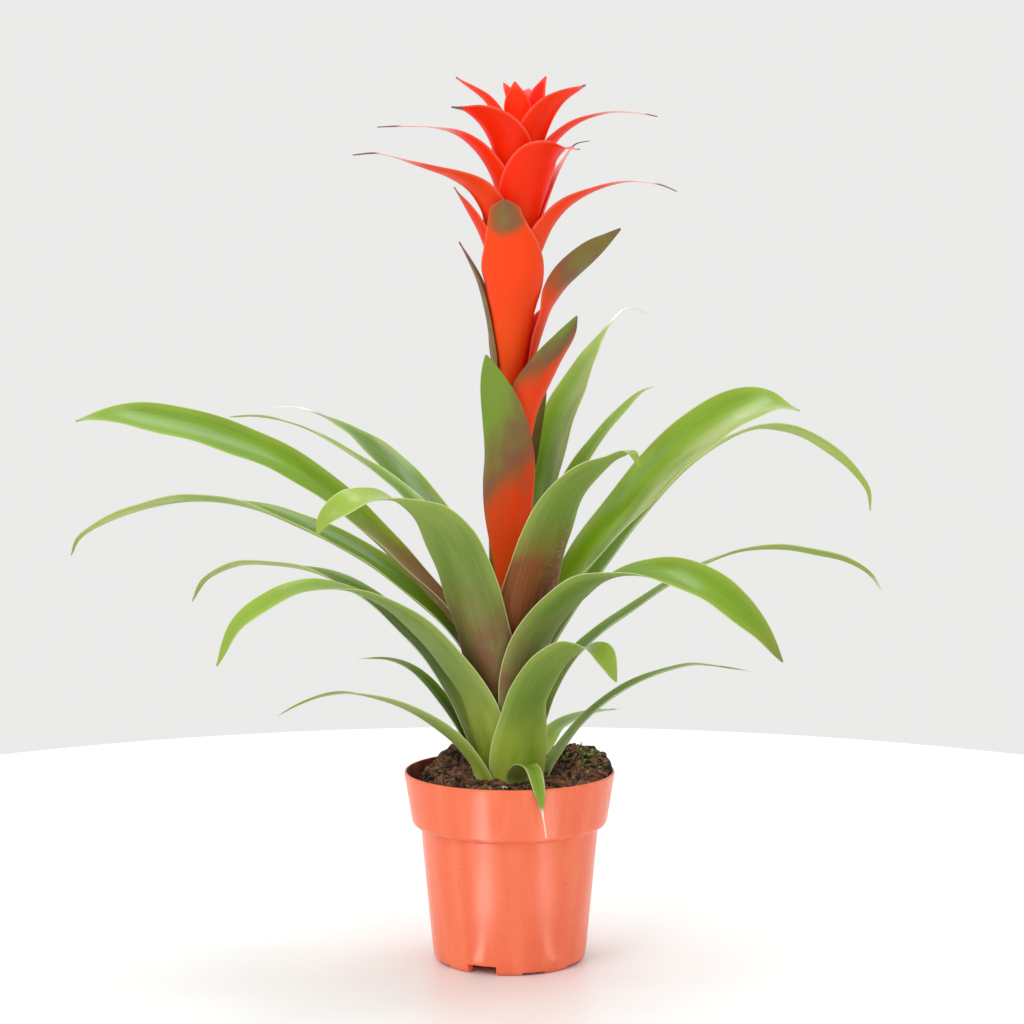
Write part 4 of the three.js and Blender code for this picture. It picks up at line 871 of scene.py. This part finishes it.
# One row for each bract, as for the leaves. attach is the height where it joins the stalk. leafy is
# the share of its length where the green starts, where it is full, and how green it gets; aslant and
# centred turn that border and bend it round the middle; mottle breaks it up; orange warms its scarlet;
# tail is where a thread turns pale, and where it turns brown.
BRACTS = [
    dict(name="bract_01", azimuth=-105, attach=212, wrap=76, wide=35, shape=OVATE,
         slot="leafy_bract", leafy=(0.22, 0.88, 1.1), mottle=0.6, aslant=-0.12, orange=0.6,
         free=((17.2, 281, 2.5), (19.3, 295, 2.5), (21.5, 311, 1), (24.5, 328, -3),
         (28, 344, -6.5))),
    dict(name="bract_02", azimuth=62, attach=245, wrap=66, wide=33, shape=BOAT, slot="leafy_bract",
         leafy=(0.1, 0.45, 0.85), mottle=0.3, orange=0.6, free=((13.8, 277), (16.5, 288),
         (19.5, 301), (23, 316), (27, 330), (32, 343))),
    dict(name="bract_03", azimuth=-48, attach=262, wrap=64, wide=31, shape=OVATE,
         slot="leafy_bract", leafy=(0.58, 1.02, 0.95), mottle=0.7, aslant=-0.16, orange=0.8,
         free=((19, 325, 5), (26, 340, 7.5), (33.5, 353, 10), (41, 365.5, 11))),
    dict(name="bract_04", azimuth=130, attach=278, wrap=44, wide=18, shape=BOAT, slot="leafy_bract",
         leafy=(0.1, 0.75, 1), mottle=0.5, free=((12.5, 310), (15.5, 320), (20, 329))),
    dict(name="bract_05", azimuth=98, attach=292, wrap=38, wide=26, shape=BOAT, slot="leafy_bract",
         leafy=(0.3, 0.7, 1), mottle=0.6, free=((18, 355), (24, 372), (33, 386), (44, 394))),
    dict(name="bract_06", azimuth=172, attach=303, wrap=32, wide=19, shape=BOAT, slot="leafy_bract",
         leafy=(0.0, 0.3, 0.62), mottle=0.4, free=((9.2, 330), (10, 339), (11.2, 347),
         (12.6, 355.5), (15, 367), (20.2, 384), (28, 400), (32.4, 407.5))),
    dict(name="bract_07", azimuth=12, attach=316, wrap=32, wide=31, shape=PETAL, slot="leafy_bract",
         roll=((0, 0), (0.35, -4), (0.5, -30), (0.75, -52), (1, -60)), leafy=(0.42, 0.8, 0.7),
         mottle=0.5, orange=0.7, free=((13.2, 341), (16.8, 354), (19.8, 363.5), (24, 374),
         (29.5, 385), (36, 393.5), (43.5, 401.5), (52, 408.5), (60, 415))),
    dict(name="bract_08", azimuth=-92, attach=328, wrap=78, wide=46, shape=HOOD, dish=20,
         slot="scarlet_bract", leafy=(0.76, 0.88, 0.6), mottle=0.5, centred=0.42, orange=0.85,
         free=((17, 385, 0), (18.5, 400, -2), (20.5, 411, -4.5), (24, 421, -6), (28, 428.5, -6.2))),
    dict(name="bract_09", azimuth=118, attach=338, wrap=46, wide=25, shape=BOAT, slot="leafy_bract",
         leafy=(0.45, 0.7, 0.8), mottle=0.5, free=((18, 398), (23, 415), (31, 429), (41, 438))),
    dict(name="bract_10", azimuth=182, attach=346, wrap=50, wide=25, shape=BOAT, slot="leafy_bract",
         leafy=(0.88, 1.0, 0.5), mottle=0.2, free=((16, 400), (21.5, 413), (28.5, 425),
         (36, 437.5))),
    dict(name="bract_11", azimuth=210, attach=354, wrap=52, wide=32, shape=SPEAR,
         slot="scarlet_bract", tail=(0.64, 0.86), orange=0.6, free=((15.8, 412), (20.3, 423),
         (29, 434), (42, 441), (57, 445.5), (74, 450), (89, 452.5), (103, 451))),
    dict(name="bract_12", azimuth=-20, attach=361, wrap=60, wide=25, shape=SPEAR,
         slot="scarlet_bract", tail=(0.6, 0.86), orange=0.6, free=((16.5, 406.5), (21, 416),
         (29, 425.5), (41, 433), (56, 438), (70, 439), (82, 437), (92, 433))),
    dict(name="bract_13", azimuth=98, attach=369, wrap=52, wide=25, shape=SPEAR,
         slot="scarlet_bract", tail=(0.55, 0.86), free=((18, 425), (23, 438), (32, 449), (45, 456),
         (60, 459), (76, 457))),
    dict(name="bract_14", azimuth=27, attach=377, wrap=38, wide=20, shape=SPEAR,
         slot="scarlet_bract", tail=(0.5, 0.8), free=((14, 420), (19, 434.5), (23.5, 446),
         (29, 455.5), (35, 462.5), (44.5, 465))),
    dict(name="bract_15", azimuth=-68, attach=384, wrap=70, wide=36, shape=PETAL,
         slot="scarlet_bract", tail=(0.85, 0.97), orange=0.15, free=((15.5, 432, 0), (18, 443, 1),
         (23, 451.5, 4), (31, 456.5, 11), (38.5, 456, 19.5))),
    dict(name="bract_16", azimuth=200, attach=392, wrap=56, wide=25, shape=SPEAR,
         slot="scarlet_bract", tail=(0.5, 0.86), free=((13.5, 438), (19, 449), (27.5, 459),
         (38, 466), (52, 469), (69, 469), (83, 468))),
    dict(name="bract_17", azimuth=6, attach=399, wrap=56, wide=25, shape=SPEAR,
         slot="scarlet_bract", tail=(0.55, 0.9), free=((14, 448), (18, 459), (25.5, 468),
         (35, 474.5), (49, 479), (65, 479.5), (77.5, 477.4))),
    dict(name="bract_18", azimuth=112, attach=406, wrap=60, wide=26, shape=SPEAR,
         slot="scarlet_bract", tail=(0.55, 0.86), free=((15, 455), (20, 467), (28, 477), (40, 483),
         (54, 484))),
    dict(name="bract_19", azimuth=-124, attach=413, wrap=66, wide=30, shape=PETAL,
         slot="scarlet_bract", tail=(2, 0.88), orange=0.1, free=((13.5, 453, 1), (18, 463, 0),
         (25, 471, -3), (34, 477, -9), (43.5, 479, -16))),
    dict(name="bract_20", azimuth=-40, attach=420, wrap=62, wide=28, shape=PETAL,
         slot="scarlet_bract", tail=(0.9, 0.95), free=((13, 462), (18, 473), (26, 482), (36, 487.5),
         (46, 490.5))),
    dict(name="bract_21", azimuth=192, attach=427, wrap=54, wide=20, shape=PETAL,
         slot="scarlet_bract", tail=(0.92, 0.95), free=((12, 468), (15, 477), (20, 485),
         (28, 491.5), (36.5, 497.4))),
    dict(name="bract_22", azimuth=80, attach=434, wrap=48, wide=22, shape=PETAL,
         slot="scarlet_bract", free=((11.5, 472), (14.5, 482), (20, 490), (28, 495))),
    dict(name="bract_23", azimuth=8, attach=441, wrap=46, wide=19, shape=PETAL,
         slot="scarlet_bract", roll=((0, 0), (0.5, 36), (1, 46)), free=((8.6, 474), (9.4, 483),
         (11, 491), (14.5, 499))),
    dict(name="bract_24", azimuth=-104, attach=448, wrap=60, wide=20, shape=PETAL,
         slot="scarlet_bract", orange=0.5, free=((7.5, 475), (9, 482), (10.5, 488.5),
         (12.5, 494.5))),
    dict(name="bract_25", azimuth=140, attach=455, wrap=56, wide=16, shape=PETAL,
         slot="scarlet_bract", free=((5.5, 480), (7, 486), (9.3, 491.5), (12, 496))),
]


def waxy_bract():
    """Waxy bract: scarlet outside and deeper inside, orange towards its base, coral at the margin, and
    where it is leafy, a broken border that runs through brown into green."""
    material, shader = finish_named("waxy_scarlet_bract")
    place = add(material, "ShaderNodeTexCoord", output="Object")
    inner_face = numbers(material, "blade")[2]
    margin = numbers(material, "ribbon")[2]
    length_share, leafy, mottle = numbers(material, "tone")
    pale, brown, orange = numbers(material, "ends")
    veins = drawn_out(material, 83.33, 1.1, 0.6)
    streaks = drawn_out(material, 25, 7.692)
    cloud = add(material, "ShaderNodeTexNoise", {"Vector": place, "Scale": cells(16.667), "Detail": 3})
    uneven = add(material, "ShaderNodeMath", {0: streaks, 1: 0.5}, operation="SUBTRACT")
    strength = add(material, "ShaderNodeMath", {0: mottle, 1: 0.7}, operation="MULTIPLY")
    green = add(material, "ShaderNodeMath", {0: uneven, 1: strength, 2: leafy}, operation="MULTIPLY_ADD")
    colour = layered(material, "#FB2806",
                     ("#FF4C18", orange),
                     ("#F24E14", (length_share, 0.55, 0.15)),
                     ("#F41A02", inner_face),
                     ("#FF5A30", (veins, 0.4, 0.8, 0, 0.2)),
                     ("#FF7A62", (margin, 2.0, 0.2, 0, 0.5)),
                     ("#B85A2C", (green, 0.0, 0.4)),
                     ("#8E6640", (green, 0.2, 0.6)),
                     ("#85823C", (green, 0.45, 0.85)),
                     ("#7F9A3C", (green, 0.7, 1.05)),
                     ("#84564A", (cloud, 0.35, 0.7, 0, 0.6), (green, 0.2, 0.5), (green, 1.05, 0.75)),
                     ("#F6CFC4", pale),
                     ("#84645A", brown))
    bump = add(material, "ShaderNodeBump", {"Height": veins, "Strength": 0.25, "Distance": 0.3 * MM})
    fill(material, shader, {"Base Color": colour, "Normal": bump, "IOR": 1.45,
                            "Roughness": masked(material, (cloud, 0.3, 0.7, 0.34, 0.44)),
                            "Specular IOR Level": 0.16})
    return material


bract_finish = waxy_bract()
for bract in BRACTS:
    attach = bract["attach"]
    rises = [rise for rise in CLASP_RISES if attach + rise < bract["free"][0][1] - CLASP_CLEAR]
    clasp = [(float(stem_radius(np.array(attach + rise))) + CLASP_GAP + FLARE * rise ** FLARE_POWER,
              attach + rise) for rise in rises]
    made = blade([*clasp, *bract["free"]], len(clasp), clasp[-1][0], bract["wrap"], bract["wide"],
                 bract["shape"], bract.get("dish", float(np.clip(bract["wide"] * 0.6, 10, 18))), PARTING,
                 roll=bract.get("roll", ((0, 0), (1, 0))), wave=bract["wide"] * BRACT_WAVE, rows=100)
    points = leaned(about_axis(made["points"].reshape(-1, 3), bract["azimuth"]))
    along = made["ribbon"][:, 0]
    share = along / along.max()
    free = made["blade"][:, 0]
    span = made["blade"][:, 1]
    leaf_from, leaf_to, most = bract.get("leafy", (2, 3, 0))
    leafy = most * eased(share + bract.get("aslant", 0) * span, leaf_from, leaf_to)
    leafy = leafy - bract.get("centred", 0) * span ** 2
    tone = np.stack([share, leafy, np.full_like(share, bract.get("mottle", 0))], -1)
    pale_from, brown_from = bract.get("tail", (2, 2))
    ends = np.stack([eased(free, pale_from, pale_from + 0.22), eased(free, brown_from, brown_from + 0.05),
                     np.full_like(share, bract.get("orange", 0.3))], -1)
    piece("waxy_" + bract["name"], points, made["faces"], [bract_finish], bract["slot"],
          replaced=[bract["name"]], smooth_below=75, blade=made["blade"], ribbon=made["ribbon"],
          tone=tone, ends=ends)

# ---------------------------------------------------------------- floor and light
# A plain pale round floor under soft studio light: a bright even surround, a large softbox in front
# and to the left, one overhead, and four bands of light just above the floor, two towards each side
# of the pot, that are seen only in reflections and make the long highlights on its wall and band.

FLOOR_RADIUS = 0.76


def plain_floor():
    """A flat disc of rings; its top is level with the pot's foot."""
    turn = np.radians(np.arange(0, 360, 3))[None, :]
    radius = np.linspace(0.001, FLOOR_RADIUS, 12)[:, None]
    points = np.stack(np.broadcast_arrays(radius * np.cos(turn), radius * np.sin(turn), 0 * turn), -1)
    faces = grid_faces(12, turn.size, wrapped=True)
    mesh = bpy.data.meshes.new("floor")
    mesh.from_pydata(points.reshape(-1, 3).tolist(), [], faces.tolist())
    material, shader = finish_named("pale_satin_board")
    place = add(material, "ShaderNodeTexCoord", output="Object")
    cloud = add(material, "ShaderNodeTexNoise", {"Vector": place, "Scale": cells(333.3), "Detail": 3})
    fill(material, shader, {"Base Color": layered(material, "#F1F0EE", ("#F6F6F5", cloud)),
                            "Roughness": 0.38})
    mesh.materials.append(material)
    floor = bpy.data.objects.new("floor", mesh)
    bpy.context.scene.collection.objects.link(floor)
    return floor


def soft_light(name, place, aim, width, height, watts, colour, glint_azimuth=None):
    """A rectangular softbox at place that faces aim. With a glint azimuth it is a band of light drawn
    along that azimuth instead, which faces up and is seen only in reflections."""
    lamp = bpy.data.lights.new(name, "AREA")
    lamp.shape = "RECTANGLE"
    lamp.size, lamp.size_y = width, height
    lamp.energy = watts
    lamp.color = linear(colour)[:3]
    box = bpy.data.objects.new(name, lamp)
    box.location = place
    if glint_azimuth is None:
        box.rotation_euler = (Vector(place) - Vector(aim)).to_track_quat("Z", "Y").to_euler()
    else:
        box.rotation_euler = (math.pi, 0, math.radians(glint_azimuth))
        box.visible_diffuse = False
        box.visible_camera = False
    bpy.context.scene.collection.objects.link(box)


plain_floor()
PLANT_MIDDLE = (0, 0, 0.25)
GLINT_AREA = 0.0124       # square metres that a side's watts are given for
GLINT_LIFT = 0.002
soft_light("softbox_front_left", (-1.1, -1.3, 1.5), PLANT_MIDDLE, 1.0, 1.0, 12, "#FFFFFF")
soft_light("softbox_above", (0.1, 0.4, 1.75), PLANT_MIDDLE, 1.0, 0.8, 15, "#F4F9FF")
for side, azimuth, watts in (("left", -119.5, 0.3), ("right", -48, 0.16)):
    way = Vector((math.cos(math.radians(azimuth)), math.sin(math.radians(azimuth)), 0))
    for part, near, far, width in (("foot", 0.054, 0.11, 0.009), ("wall", 0.112, 0.3, 0.05)):
        place = way * (near + far) / 2 + Vector((0, 0, GLINT_LIFT))
        share = (far - near) * width / GLINT_AREA
        soft_light(f"glint_{side}_{part}", place, None, far - near, width, watts * share, "#FFFFFF",
                   azimuth)

surround = bpy.data.worlds.new("studio_surround")
surround.use_nodes = True
surround.node_tree.nodes["Background"].inputs["Color"].default_value = linear("#EBEBEA")
surround.node_tree.nodes["Background"].inputs["Strength"].default_value = 1.0
bpy.context.scene.world = surround
